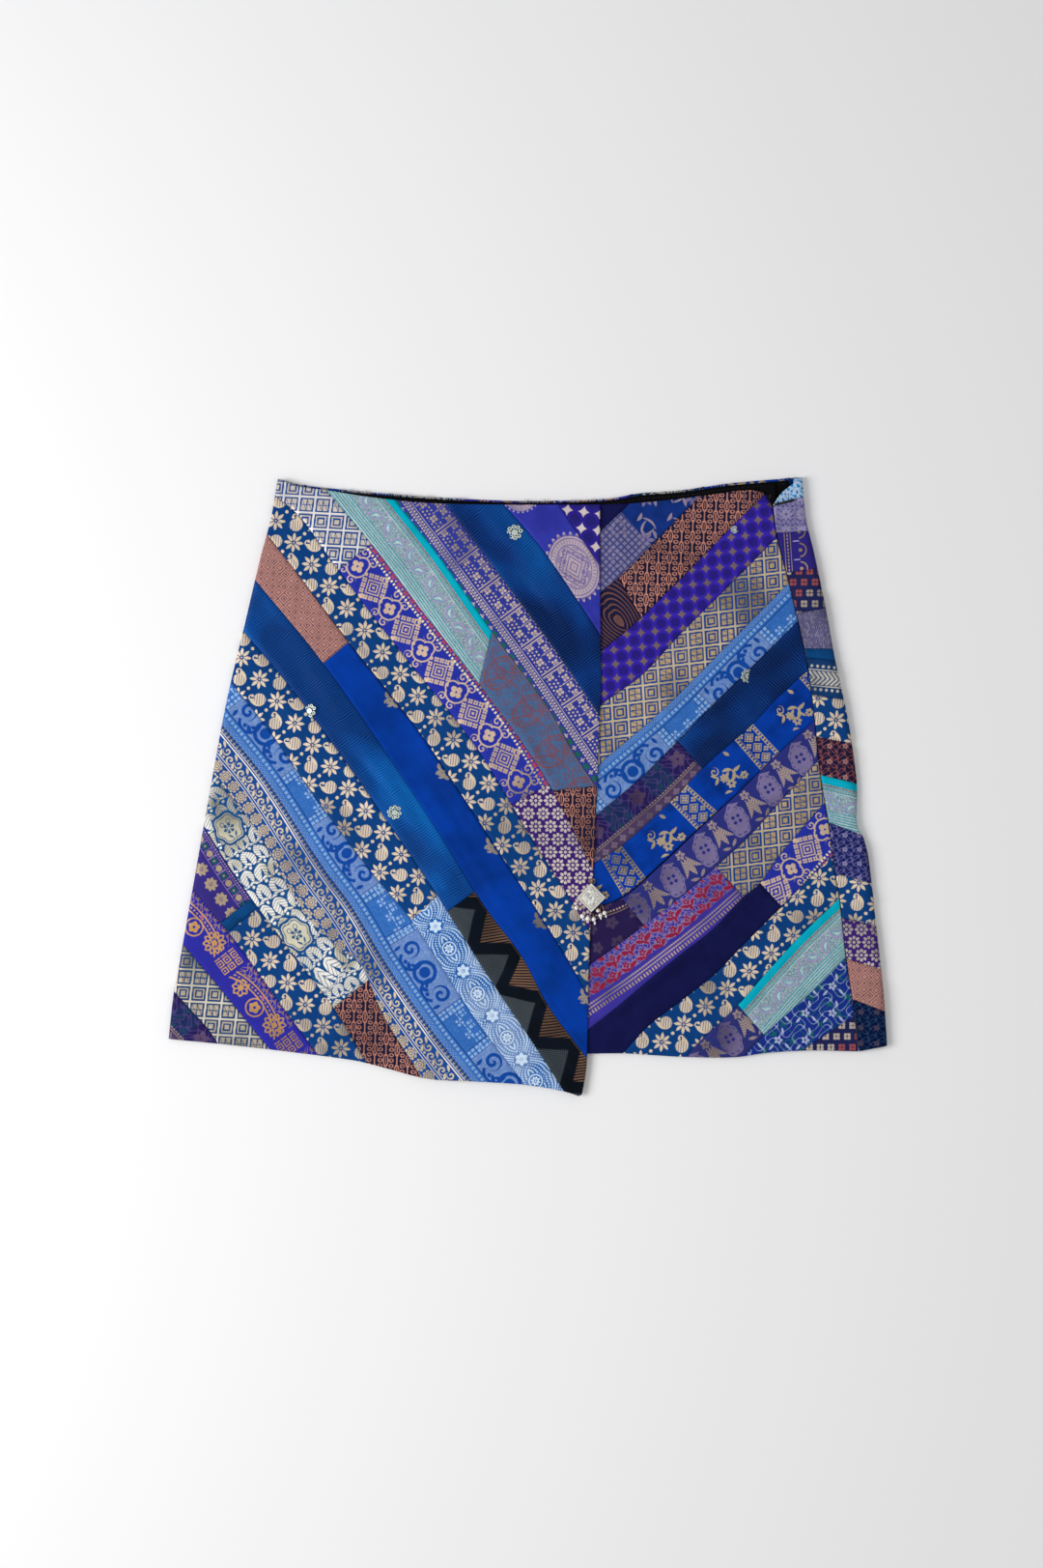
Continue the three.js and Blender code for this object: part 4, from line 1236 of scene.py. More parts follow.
def violetMedallion(c):
    # Plain shot silk with one dense oval medallion, and the foot of another at the waist
    c.cloud(0.05, 0.5, 0.2, 0.6, "#272a88")
    for cx, cy, rx, ry, tilt in ((32.0, -155.0, 18.0, 24.0, -22), (-5.5, -207.5, 13.5, 14.0, 0)):
        x, y = turned(c.x - cx, c.y - cy, tilt)
        r = radius(x * (1 / rx), y * (1 / ry))
        turn = bearing(x * (1 / rx), y * (1 / ry))
        fringe = filled(1.0 - r + cosine(turn * 26.0) * 0.07, 0.02)
        edges = anyOf(within(size(r - 0.86), 0.018, 0.015), within(size(r - 0.66), 0.018, 0.015))
        ground = without(within(r, 0.93, 0.02), edges)
        beads = within(size(r - 0.76), 0.06, 0.02) * within(size(sine(turn * 22.0)), 0.35, 0.2)
        diamond = size(x) * (1 / rx) + size(y) * (1 / ry)
        nested = lined(diamond, 0.17, 0.026, 0.02) * within(r, 0.62, 0.02)
        scroll = beyond(sine(x * 1.9 + sine(y * 1.1) * 1.6) * sine(y * 1.7 + sine(x * 1.2) * 1.5), 0.12,
                        0.25)
        filling = scroll * within(r, 0.62, 0.02) * beyond(diamond, 0.42, 0.03)
        c.lay(fringe, "#bcaab4", metal=0.2)
        c.lay(anyOf(fringe - ground, beads, nested, filling) * within(r, 1.0, 0.02) * 0.75, "#4a3c92")


def tanBranches(c):
    # Blue ground with lilac twigs and leaf sprays, and rows of squares at the lower left
    x, y = repeat(c.x, 21.0), repeat(c.y, 23.0)
    twigs = foliage(x, y, (2.0, -3.0, 40, 7.0, 0.8, 2.2), (-4.0, 1.0, 105, 6.0, 0.8, -2.0),
                    (1.0, 5.0, 150, 5.0, 0.7, 1.4), (5.0, 6.0, 70, 3.6, 1.2, 0.6),
                    (-5.4, -6.0, 120, 3.4, 1.2, 0.6))
    corner = filled((c.y + 196.0) * 0.9 - (c.x - 63.0), 0.6)
    cells = within(most(size(repeat(c.x + c.y, 5.2)), size(repeat(c.x - c.y, 5.2))), 1.7, 0.3)
    c.cloud(0.12, 0.52, 0.15, 0.5, "#0b2766")
    c.lay(twigs, "#9a8a9c", metal=0.15)
    c.lay(petals(repeat(c.x - 14.0, 34.0), repeat(c.y - 6.0, 30.0), 7, 0.8, 7.0, 1.3) * 0.8, "#86789a")
    c.lay(corner * 0.7, "#4c4a78", raised=0.0)
    c.lay(corner * cells * 0.7, "#8a84a6")


def darkPaisley(c):
    # Copper contour lines round a drop
    x, y = turned(c.x - 64.0, c.y + 117.0, -40)
    drop = radius(x * 1.25, y * 0.7 + size(x) * 0.35)
    lines = lined(drop, 2.9, 0.42, 0.3)
    c.lay(lines * 0.85, "#7d5348", metal=0.2)
    c.lay(within(drop, 2.6, 0.3) * 0.5, "#8a6052", metal=0.2)


def goldBands(c):
    # Sprays on royal blue, crossed every 63 mm by a gold band with ladder edges
    period, ink = 63.0, "#b3a283"
    y = repeat(c.y - 21.0, period)
    band = within(size(y), 8.3, 0.2)
    ladder = dashes(size(y), c.x, 7.2, 1.9, 2.5, 0.55)
    fx, fy = repeat(c.x - 5.0, 9.0), y
    filling = anyOf(diamondRing(fx, fy, 3.6, 0.8), petals(fx, fy, 4, 0.3, 2.4, 0.9),
                    petals(repeat(c.x - 0.5, 9.0), size(y) - 4.0, 4, 0.3, 2.2, 0.8)) * within(size(y), 6.0)
    v = repeat(c.y - 21.0 - period / 2, period)
    spray = anyOf(
        foliage(c.x, v, (15.0, 1.0, 100, 4.4, 1.3, 0.9), (11.8, 5.0, 60, 4.0, 1.2, -0.9),
                (18.4, 6.0, 130, 4.4, 1.3, 1.0), (15.6, 10.4, 90, 4.0, 1.2, 0.6),
                (13.4, -6.0, 120, 3.6, 1.1, 0.7)),
        petals(c.x - 15.0, v + 0.6, 7, 0.9, 3.4, 0.9),
        petals(c.x - 21.0, v - 1.0, 6, 0.7, 3.8, 1.1), petals(c.x - 22.5, v - 12.0, 6, 0.6, 3.2, 1.0),
        coil(c.x, v, 7.0, -3.0, 3.3, 2.6, 0.9, 1.0),
        foliage(c.x, v, (9.6, -5.4, 30, 2.6, 0.9), (3.0, 12.0, 20, 2.6, 1.2),
                (20.5, 7.6, 20, 3.0, 0.8, 0.8), (24.0, -5.0, 70, 3.2, 0.9, -0.8)))
    c.cloud(0.06, 0.54, 0.2, 0.6, "#02246a")
    c.lay(anyOf(ladder, filling, stripe(size(y), 8.4, 0.4), stripe(size(y), 5.9, 0.4)), ink, metal=0.25)
    c.lay(spray * (1.0 - band), ink, metal=0.25)


def dottedPurple(c):
    blooms = petals(repeat(c.x - 13.0, 14.0), repeat(c.y, 15.0), 5, 0.5, 4.6, 1.5, soft=0.5)
    c.lay(blooms * 0.6, "#54465f", metal=0.15)
    c.lay(dashes(c.x, c.y, 5.0, 1.0, 2.1, 0.6), "#b09a86", metal=0.35)
    c.lay(stripe(c.x, 7.0, 0.5) * 0.8, "#8a7468", metal=0.3)


def lilacTulips(c):
    # Lilac ovals with dark dots, tan tulips between them
    period = 31.0
    x, y = c.x - 13.5, repeat(c.y, period)
    v = repeat(c.y - period / 2, period)
    a, b = turned(x, y, -14)
    lobes = cosine(bearing(a, b) * 7.0) * 0.055
    oval = within(radius(a * (1 / 12.0), b * (1 / 7.8)) + lobes, 1.0, 0.03)
    dots = within(size(size(a + 1.0) - 1.9) + size(size(b) - 1.9), 1.55, 0.2)
    rim = within(size(radius(a * (1 / 12.0), b * (1 / 7.8)) + lobes - 0.86), 0.03,
                 0.03) * beyond(sine(bearing(a, b) * 14.0), -0.2, 0.4)
    horn = foliage(x, y, (9.6, -5.0, 60, 4.6, 1.4, 1.6), (-10.0, 5.0, 60, 4.0, 1.3, 1.4))
    tulip = anyOf(foliage(x, v, (1.0, 0.0, 0, 7.4, 2.1), (0.0, 3.2, 22, 7.0, 1.6, 1.8),
                          (0.0, -3.2, -22, 7.0, 1.6, -1.8)),
                  petals(x + 9.5, v, 5, 0.5, 3.6, 1.2),
                  foliage(x, v, (10.0, 3.6, 120, 3.4, 1.0), (10.0, -3.6, 60, 3.4, 1.0)))
    veins = within(size(repeat(c.fineX + size(v) * 0.6, 2.0)), 0.26, 0.15)
    c.lay(anyOf(oval, horn), "#7a6f98", metal=0.1)
    c.lay(anyOf(rim, dots) * oval, "#232878")
    c.lay(tulip * (1.0 - oval) * (1.0 - veins * 0.7), "#a8958e", metal=0.2)


def redLeaves(c):
    # Red foliage with pale outlines, twin ropes and a comb at the lower seam
    pitch = 13.0
    row = nearest((c.x - 7.0) * (1 / 9.6))
    bent = c.noise(0.11, 1.0) * 7.0
    x, y = c.x - 7.0 - row * 9.6, repeat(c.y + bent + parity(row) * pitch / 2, pitch)
    inside = anyOf(foliage(x, y, (0.0, -3.4, 60, 3.6, 1.5, 0.8), (0.0, 3.4, 120, 3.6, 1.5, -0.8),
                           (2.6, 0.0, 10, 3.2, 1.2)),
                   petals(x + 2.6, y, 5, 0.4, 2.6, 0.9))
    outside = anyOf(foliage(x, y, (0.0, -3.4, 60, 4.3, 2.1, 0.8), (0.0, 3.4, 120, 4.3, 2.1, -0.8),
                            (2.6, 0.0, 10, 3.9, 1.7)),
                    petals(x + 2.6, y, 5, 0.2, 3.3, 1.4))
    lines, _ = curls(c.x, c.y, 8.0, 0.7, 0.3, 1.4)
    field = within(c.x + c.noise(0.15, 1.0) * 5.0, 21.0)
    c.lay(anyOf(outside, lines * 0.8) * field, "#8f7ba6", metal=0.1)
    c.lay(inside * field, "#8c1f42")
    rope = 0.5 + sine(c.y * 3.4) * 0.25
    c.lay(within(size(size(c.x - 23.4) - 1.2), rope, 0.2), "#b09a98", metal=0.2)
    c.lay(dashes(c.x, c.y, 27.6, 2.6, 2.4, 0.5), "#b49a8a", metal=0.3)


def navyPlain(c):
    c.cloud(0.08, 0.55, 0.2, 0.5, "#0b0c38")
    c.lay(lined(c.fineX + c.fineY, 1.2, 0.2, 0.2) * 0.25, "#1c2058")


def vines(c, ink, bloomInk, pitch):
    lines, _ = curls(c.x, c.y, pitch, 0.7, 0.3, 1.5)
    x, y = repeat(c.x - pitch / 4, pitch), repeat(c.y - pitch / 3, pitch)
    c.lay(lines, ink)
    c.lay(petals(x, y, 5, 0.5, pitch * 0.2, pitch * 0.07), bloomInk)
    c.lay(leaf(repeat(c.x + pitch / 4, pitch), repeat(c.y, pitch), 0.0, 0.0, 50, pitch * 0.2, pitch * 0.06,
               0.6), ink)


def whiteVines(c):
    lines, _ = curls(c.x, c.y, 26.0, 0.8, 0.3, 1.2)
    c.lay(lines, "#135c62")
    pitch = 19.0
    stems, _ = curls(c.x, c.y, pitch, 0.45, 0.3, 1.5)
    c.lay(stems, "#8d9cc0")
    x, y = repeat(c.x - pitch / 4, pitch), repeat(c.y - pitch / 3, pitch)
    c.lay(anyOf(petals(x, y, 5, 0.5, 3.2, 0.9),
                foliage(x, y, (6.0, 4.0, 50, 2.6, 0.8), (-5.0, 5.0, 130, 2.6, 0.8),
                        (3.0, -6.4, 80, 2.6, 0.8))), "#aab4d0")


def smallFlowers(c):
    pitch = 7.6
    row = nearest(c.y * (1 / pitch))
    column = nearest((c.x - parity(row) * (pitch / 2)) * (1 / pitch))
    x = c.x - parity(row) * (pitch / 2) - column * pitch
    bloom = petals(x, c.y - row * pitch, 4, 0.4, 3.0, 1.3, start=math.pi / 4)
    pale = parity(nearest((column + row) * (1 / 3)))
    c.lay(bloom * (1.0 - pale), "#92484a")
    c.lay(bloom * pale, "#b5a79c", metal=0.15)
    c.lay(disc(x, c.y - row * pitch, 0.0, 0.0, 0.6), "#1c2546")


def cyanWhite(c):
    lines, field = curls(c.x, c.y, 8.0, 1.5)
    c.lay(lines, "#a9c2da")
    c.lay(within(field, -0.4, 0.1), "#0f7fc0")


def violetWhite(c):
    lines, _ = curls(c.x, c.y, 6.6, 1.1, 0.4, 1.6)
    c.lay(lines, "#978fbc", metal=0.15)
    c.lay(petals(repeat(c.x - 5.0, 11.0), repeat(c.y, 12.0), 8, 0.8, 4.6, 1.0), "#a79fc6", metal=0.15)


def lilacGrey(c):
    swirl = c.x + sine(c.y * 0.35) * 3.0
    c.lay(lined(swirl, 1.5, 0.34, 0.3), "#7d789c", metal=0.1)
    c.lay(beyond(c.noise(0.9, 2.0, 1.0, 0.5), 0.56, 0.1) * 0.6, "#9490a8", metal=0.1)


def goldZigzag(c):
    x, y = c.x, c.y
    c.lay(anyOf(dashes(y, x, 7.0, 1.0, 2.4, 0.6), stripe(y, 9.0, 0.5), stripe(y, 5.0, 0.5)), "#b8a278",
          metal=0.35)
    c.lay(anyOf(arch(repeat(x, 13.0), y, 0.0, 15.0, 4.6, 0.9, 90),
                disc(repeat(x, 13.0), y, 0.0, 15.6, 1.2)), "#c0a574", metal=0.35)
    c.lay(lined(x - 6.5, 13.0, 0.5) * within(size(y - 13.0), 2.2), "#9c90b8")


def silverBraid(c):
    # From the upper seam: dots, a line, a braid of leaves, a line, dots
    y = c.x - 13.0
    zig = size(y) * 0.9
    leaves = lined(c.y + zig, 3.2, 1.05, 0.3) * within(size(y), 4.6)
    c.lay(leaves, "#d2cfc4", metal=0.45)
    c.lay(stripe(size(y), 5.6, 0.7), "#cfccc2", metal=0.45)
    c.lay(within(radius(size(y) - 8.1, repeat(c.y, 3.9)), 1.05), "#cfccc2", metal=0.45)


def violetRosettes(c):
    pitch = 10.4
    row = nearest(c.y * (1 / (pitch * 0.87)))
    x = repeat(c.x - parity(row) * (pitch / 2), pitch)
    y = c.y - row * (pitch * 0.87)
    c.lay(anyOf(petals(x, y, 8, 1.8, 4.9, 1.05), disc(x, y, 0.0, 0.0, 1.05)), "#d2c2bc", metal=0.25)


def blackTwill(c):
    ribs = sine((c.fineX + c.fineY) * 5.2)
    c.lay(beyond(ribs, 0.2, 0.8) * 0.5, "#17171c", raised=1.0)


def blackTape(c):
    c.lay(beyond(sine(c.fineY * 6.3), 0.1, 0.8) * 0.5, "#16161b", raised=1.0)


# Ground colour and motif of each cloth, and what the motif is given
fabrics = {
    "paisleyFlower": ("#093c78", paisleyFlower),
    "latticeTop": ("#21488c", latticeCloth, "#e6e2de", "#d0c6b8", False),
    "lattice": ("#1c3f84", latticeCloth, "#cdbb9a", "#bda57c", True),
    "latticeSmall": ("#24406e", latticeCloth, "#cfc7b4", "#b4a994", False),
    "violetOgee": ("#24309c", violetOgee),
    "violetRosettes": ("#38206c", violetRosettes),
    "squaresBorder": ("#2e3890", squaresBorder),
    "turquoisePaisley": ("#86a5ae", turquoisePaisley),
    "greyOutline": ("#406793", greyOutline),
    "copperKnots": ("#1c1a34", copperKnots),
    "copperDiamonds": ("#b8857a", copperDiamonds),
    # the two satins' last two colours are their painted shade and painted sheen
    "blueSatin": ("#022f78", satinRows, "#011040", "#034f9c"),
    "brightSatin": ("#0450a4", satinRows, "#022f70", "#0570c4"),
    "royalPlain": ("#01389a", royalPlain),
    "scrollBorder": ("#2f66b2", scrollBorder),
    "vineBand": ("#17478e", vineBand),
    "largeLeaf": ("#124a82", largeLeaf),
    "purpleSquares": ("#332a78", purpleSquares),
    "tealPlain": ("#053c74", tealPlain),
    "arabesque": ("#2b2a98", arabesque),
    "darkBrocade": ("#241a52", darkBrocade),
    "blueWhite": ("#1d5ca6", blueWhite),
    "darkTriangles": ("#0a121d", darkTriangles),
    "creamQuatrefoil": ("#241f70", linkedRings, "#d3c6c4", "#2c1f86", 0.6, 11.6),
    "violetMedallion": ("#3338a4", violetMedallion),
    "tanBranches": ("#12307a", tanBranches),
    "darkPaisley": ("#1b1a3a", darkPaisley),
    "puckeredRings": ("#281c7a", linkedRings, "#75626a", "#3523a4", 3.0, 10.0),
    "goldBands": ("#03399c", goldBands),
    "dottedPurple": ("#251a48", dottedPurple),
    "lilacTulips": ("#2b3078", lilacTulips),
    "redLeaves": ("#3a3296", redLeaves),
    "navyPlain": ("#111345", navyPlain),
    "lilacMedallion": ("#2b3070", lilacTulips),
    "whiteVines": ("#172f86", whiteVines),
    "smallFlowers": ("#1d2250", smallFlowers),
    "cyanWhite": ("#2b6cae", cyanWhite),
    "violetWhite": ("#403f86", violetWhite),
    "lilacGrey": ("#3e3a66", lilacGrey),
    "goldZigzag": ("#2c2478", goldZigzag),
    "silverBraid": ("#123564", silverBraid),
    "redVines": ("#1b1838", vines, "#7d4447", "#a17472", 11.0),
    "lilacVines": ("#161f5c", vines, "#5d5a8c", "#8883ae", 10.0),
    "darkFloral": ("#050e34", vines, "#16385c", "#4a3c50", 11.0),
    "blackTwill": ("#050507", blackTwill),
    "blackTape": ("#060608", blackTape),
}
# How a cloth takes the light, where it isn't the common way
finishes = {
    "turquoisePaisley": {"roughness": 0.5},
    "blueSatin": {"ribs": 0.16, "roughness": 0.45, "satin": 0.04},
    "brightSatin": {"ribs": 0.16, "roughness": 0.45, "satin": 0.04},
    "tealPlain": {"ribs": 0.06},
    "puckeredRings": {"lift": 0.2},
    "blackTwill": {"roughness": 0.85},
    "blackTape": {"roughness": 0.7},
}
# Cloth whose threads run with the page, and their turn in degrees
pageTurns = {
    "paisleyFlower": 6, "latticeTop": 3, "lattice": -3, "latticeSmall": 3, "violetRosettes": 0,
    "copperKnots": 2, "copperDiamonds": 4, "creamQuatrefoil": 8, "violetMedallion": 0, "tanBranches": 0,
    "darkPaisley": 0, "puckeredRings": -6, "whiteVines": 0, "smallFlowers": 0, "violetWhite": 0,
    "lilacGrey": 0, "redVines": 0, "lilacVines": 0, "darkFloral": 0, "blackTwill": 0, "blackTape": 0,
}


def makeFabric(name):
    ground, motif, *given = fabrics[name]
    c = Cloth(name, ground)
    motif(c, *given)
    return c.finish(**finishes.get(name, {}))


def pageWeave(x, y, turn):
    # Thread coordinates of cloth whose threads run with the page: right and down, in millimetres
    c, s = math.cos(math.radians(turn)), math.sin(math.radians(turn))
    return (x * c - y * s) / mm, (-y * c - x * s) / mm


# Front over panel: strips that run down to the right, with the pointed hem
laidEdge = {"turns": ((0.6 * mm, 0.29), (2.1 * mm, 0.03), (7.6 * mm, 0.03)), "drop": 0.1 * mm}


def sewOverPanel():
    bm, weave, materials = newCloth()
    outline = Line(leftEdge, overHem, overlapEdge, overWaist)
    sewStrips(bm, weave, materials, "front_over_panel", overSeams, overStrips, outline, math.radians(-54))
    rollUnder(bm, weave, leftEdge, laidEdge["turns"], 1.0, laidEdge["drop"])
    return finishCloth("overPanelCloth", bm, materials, ["front_over_panel"])


# Front under panel, whose left part runs on beneath the over panel
def sewUnderPanel():
    bm, weave, materials = newCloth()
    outline = Line(underLeft, underHem, sideSeam, underWaist)
    sewStrips(bm, weave, materials, "front_under_panel", underSeams, underStrips, outline, math.radians(42))
    hiddenLeft = [(494, 524), (488, 800), (482, 1084)]
    visibleLeft = [(x - 1, y) for x, y in reversed(underLeft)]
    hiddenOutline = Line(hiddenLeft, [hiddenLeft[-1], visibleLeft[0]], visibleLeft,
                         [visibleLeft[-1], hiddenLeft[0]])
    upper, lower = Line([hiddenLeft[0], visibleLeft[-1]]), Line([hiddenLeft[-1], visibleLeft[0]])
    sewPatch(bm, weave, materials, "front_under_panel", upper, lower, *wholeWidth(upper, lower),
             "navyPlain",
             hiddenOutline, 0.4)
    return finishCloth("underPanelCloth", bm, materials, ["front_under_panel"])


# Back panel: flat on the table, round the right fold, and over the front up to the side seam
back = {
    "foldRadius": 2.9 * mm,
    "foldTurns": ((0.5 * mm, 0.52), (1.4 * mm, 0.2), (2.9 * mm, 0.03), (6.0 * mm, 0.03)), "drop": 0.25 * mm,
    "waist": [(288.0, 496.8), (311, 502.8), (354, 507.8), (408, 512.8), (485, 517.8), (550, 519.9),
              (630, 517.5), (661, 512), (704, 508.9), (757, 501.5), (825.7, 495.7)],
    "hem": [(175.2, 1074), (399.4, 1084.5), (634.7, 1089), (914, 1083.2)],
    "middleX": 561.0,
    "slope": 38, "stripWidths": (30, 24, 33, 27, 36, 25, 31, 28, 34, 26, 30, 32, 27, 29, 33, 26, 30),
    "fabrics": ("paisleyFlower", "blueSatin", "lilacVines", "lattice", "violetRosettes", "navyPlain",
                "vineBand", "paisleyFlower", "copperDiamonds", "whiteVines", "blueSatin", "goldBands",
                "silverBraid", "arabesque", "darkBrocade", "lattice", "redVines"),
    "groove": 0.35 * mm, "grooveReach": 1.1 * mm, "firstStrip": -260 * mm,
    "columns": 60, "rows": 52,
}


def pointAtY(line, y):
    best = min(line.points, key=lambda p: abs(p.y - y))
    return best.copy()


def mapFloor():
    # A grid over the whole of the flat back, between its folds, waist and hem
    bm, _, _ = newCloth()
    left, right = Line(leftEdge), Line(rightEdge)
    waist, hem = Line(back["waist"]), Line(back["hem"])
    for vert in bmesh.ops.create_grid(bm, x_segments=back["columns"], y_segments=back["rows"],
                                         size=0.5)["verts"]:
        u, v = vert.co.x + 0.5, vert.co.y + 0.5
        top, bottom = waist.at(u * waist.length), hem.at(u * hem.length)
        first = left.at(v * left.length)
        last = right.at((1 - v) * right.length) - Vector((back["foldRadius"] / photo["metresPerPixel"], 0))
        flat = (waist.points[0] * (1 - v) + hem.points[0] * v) * (1 - u)
        flat += (waist.points[-1] * (1 - v) + hem.points[-1] * v) * u
        pixel = top * (1 - v) + bottom * v + first * (1 - u) + last * u - flat
        x, y = fromPhoto(pixel.x, pixel.y)
        vert.co = (x, y, cloth["rest"])
    return bm


def floorPatch(bm, floor, materials, sideOfMiddle, low, high, fabric):
    # One diagonal strip of the back, cut from its grid along two seams and the middle seam
    strip = floor.copy()
    weave = strip.verts.layers.float_vector["weave"]
    turn = math.radians(back["slope"]) * sideOfMiddle
    normal = Vector((-math.sin(turn), math.cos(turn), 0))
    origin = Vector((fromPhoto(back["middleX"], 0).x, 0, 0))
    cuts = [(origin, Vector((sideOfMiddle, 0, 0))), (origin + normal * low, normal),
            (origin + normal * high, -normal)]
    for place, facing in cuts:
        bmesh.ops.bisect_plane(strip, geom=strip.verts[:] + strip.edges[:] + strip.faces[:], dist=1e-7,
                               plane_co=place, plane_no=facing, clear_inner=True)
        if not strip.faces:
            strip.free()
            return
        inset = place + facing * back["grooveReach"]
        bmesh.ops.bisect_plane(strip, geom=strip.verts[:] + strip.edges[:] + strip.faces[:], dist=1e-7,
                               plane_co=inset, plane_no=facing)
    paintFaces(strip.faces, fabricSlot(materials, fabric))
    for vert in strip.verts:
        away = vert.co - origin
        layThreads(vert, weave, fabric, ((high - away.dot(normal)) / mm, away.cross(normal).z / mm), 3)
        if min(abs((vert.co - place).dot(facing)) for place, facing in cuts) < 1e-5:
            vert.co.z += back["groove"]
    faceAlong(strip, strip.faces[:], -1)
    mesh = bpy.data.meshes.new("strip")
    strip.to_mesh(mesh)
    strip.free()
    bm.from_mesh(mesh)
    bpy.data.meshes.remove(mesh)


def sewBackPanel():
    bm, weave, materials = newCloth()
    seam, fold = Line(returnSeam), Line(rightEdge)
    outline = Line(returnSeam, returnHem, rightEdge, returnWaist)
    upper = Line(list(reversed(returnWaist)))
    for fabric, seamY, foldY in returnBands:
        if seamY is None:
            lower = Line(returnHem)
        else:
            lower = Line([tuple(pointAtY(seam, seamY)), tuple(pointAtY(fold, foldY))])
        sewPatch(bm, weave, materials, "back_panel", upper, lower, *wholeWidth(upper, lower), fabric,
                 outline, 0.1)
        upper = lower
    rollUnder(bm, weave, rightEdge, back["foldTurns"], -1.0, back["drop"])
    floor = mapFloor()
    for sideOfMiddle in (-1, 1):
        low = back["firstStrip"]
        for width, fabric in zip(back["stripWidths"], back["fabrics"]):
            floorPatch(bm, floor, materials, sideOfMiddle, low, low + width * mm, fabric)
            low += width * mm
    floor.free()
    return finishCloth("backPanelCloth", bm, materials, ["back_panel"])


overCloth = sewOverPanel()
underCloth = sewUnderPanel()
backCloth = sewBackPanel()


# Helpers for the small parts
def plainMaterial(name, colour, roughness, metal=0.0, variety=0.2, bumps=0.0, bumpScale=900.0):
    material = bpy.data.materials.new(name)
    material.use_nodes = True
    tree = material.node_tree
    shader = tree.nodes["Principled BSDF"]
    place = tree.nodes.new("ShaderNodeTexCoord")
    spots = tree.nodes.new("ShaderNodeTexNoise")
    spots.inputs["Scale"].default_value = bumpScale
    spots.inputs["Detail"].default_value = 3.0
    tree.links.new(place.outputs["Object"], spots.inputs["Vector"])
    field = Num(spots.outputs[0])
    base = linear(colour)
    low = tuple(channel * (1 - variety) for channel in base[:3]) + (1.0,)
    mixed = mixColour(tree, beyond(field, 0.5, 0.3), low, base)
    tree.links.new(mixed.socket, shader.inputs["Base Color"])
    tree.links.new((field * 0.2 + (roughness - 0.1)).socket, shader.inputs["Roughness"])
    shader.inputs["Metallic"].default_value = metal
    if bumps:
        addBump(tree, shader, field, 0.6, bumps)
    return material


def finishSmall(name, bm, material, replaced=(), soft=True):
    bmesh.ops.recalc_face_normals(bm, faces=bm.faces)
    for face in bm.faces:
        face.smooth = soft
    return placePiece(name, bm, [material], replaced)


clothTops = [surfaceOf(piece) for piece in (overCloth, underCloth, backCloth)]


def onCloth(pixelX, pixelY, lift=0.0):
    # The highest cloth below a place in the photo
    place = fromPhoto(pixelX, pixelY)
    best = 0.0
    for tree in clothTops:
        hit = tree.ray_cast(Vector((place.x, place.y, 0.1)), Vector((0, 0, -1)))[0]
        if hit is not None:
            best = max(best, hit.z)
    return Vector((place.x, place.y, best + lift))


def hoop(bm, sides, reach, place):
    made = bmesh.ops.create_circle(bm, segments=sides, radius=reach, matrix=place)["verts"]
    return list({edge for vert in made for edge in vert.link_edges})


def joinHoops(bm, loops, shut=True):
    # Walls from each loop to the next, then two end faces, or a wall from the last to the first
    for a, b in zip(loops, loops[1:]):
        bmesh.ops.bridge_loops(bm, edges=a + b)
    if shut:
        for loop in (loops[0], loops[-1]):
            bmesh.ops.contextual_create(bm, geom=loop)
    else:
        bmesh.ops.bridge_loops(bm, edges=loops[-1] + loops[0])


def turnedShape(bm, stations, sides, place=Matrix.Identity(4), shut=True):
    # Rings of (radius, height) joined one to the next, as on a lathe: closed at both ends, or onto itself
    joinHoops(bm, [hoop(bm, sides, reach, place @ Matrix.Translation((0, 0, height)))
                   for reach, height in stations], shut)


def threadAlong(bm, points, thickness, sides=5):
    # A round thread or wire through the points
    loops = []
    for i, point in enumerate(points):
        tangent = (points[min(i + 1, len(points) - 1)] - points[max(i - 1, 0)]).normalized()
        place = Matrix.Translation(point) @ tangent.to_track_quat("Z", "Y").to_matrix().to_4x4()
        loops.append(hoop(bm, sides, thickness / 2, place))
    joinHoops(bm, loops)


def bentThrough(points, steps=5):
    # Points on a smooth curve through the given ones
    made = []
    count = len(points)
    for i in range(count - 1):
        a, b = points[max(i - 1, 0)], points[i]
        c, d = points[i + 1], points[min(i + 2, count - 1)]
        for k in range(steps):
            t = k / steps
            made.append(0.5 * (2 * b + (c - a) * t + (2 * a - 5 * b + 4 * c - d) * t * t
                               + (3 * b - a - 3 * c + d) * t ** 3))
    made.append(points[-1].copy())
    return made


def middleOf(node):
    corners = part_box(node)
    low = Vector([min(c[i] for c in corners) for i in range(3)])
    high = Vector([max(c[i] for c in corners) for i in range(3)])
    return low, high, (low + high) / 2


# Black facing behind the waist, and the tape under the closure
facing = {"columns": 150, "rows": 16, "scan": 0.4 * mm, "inset": 0.15 * mm, "rise": 0.25 * mm,
          "wave": 0.16 * mm, "waveSize": 0.021, "stitch": 2.4 * mm, "stitchGap": 1.1 * mm,
          "stitchDown": 2.4 * mm, "thread": 0.3 * mm, "endShare": 0.0015, "dent": 0.2 * mm,
          "dentReach": 0.7 * mm}


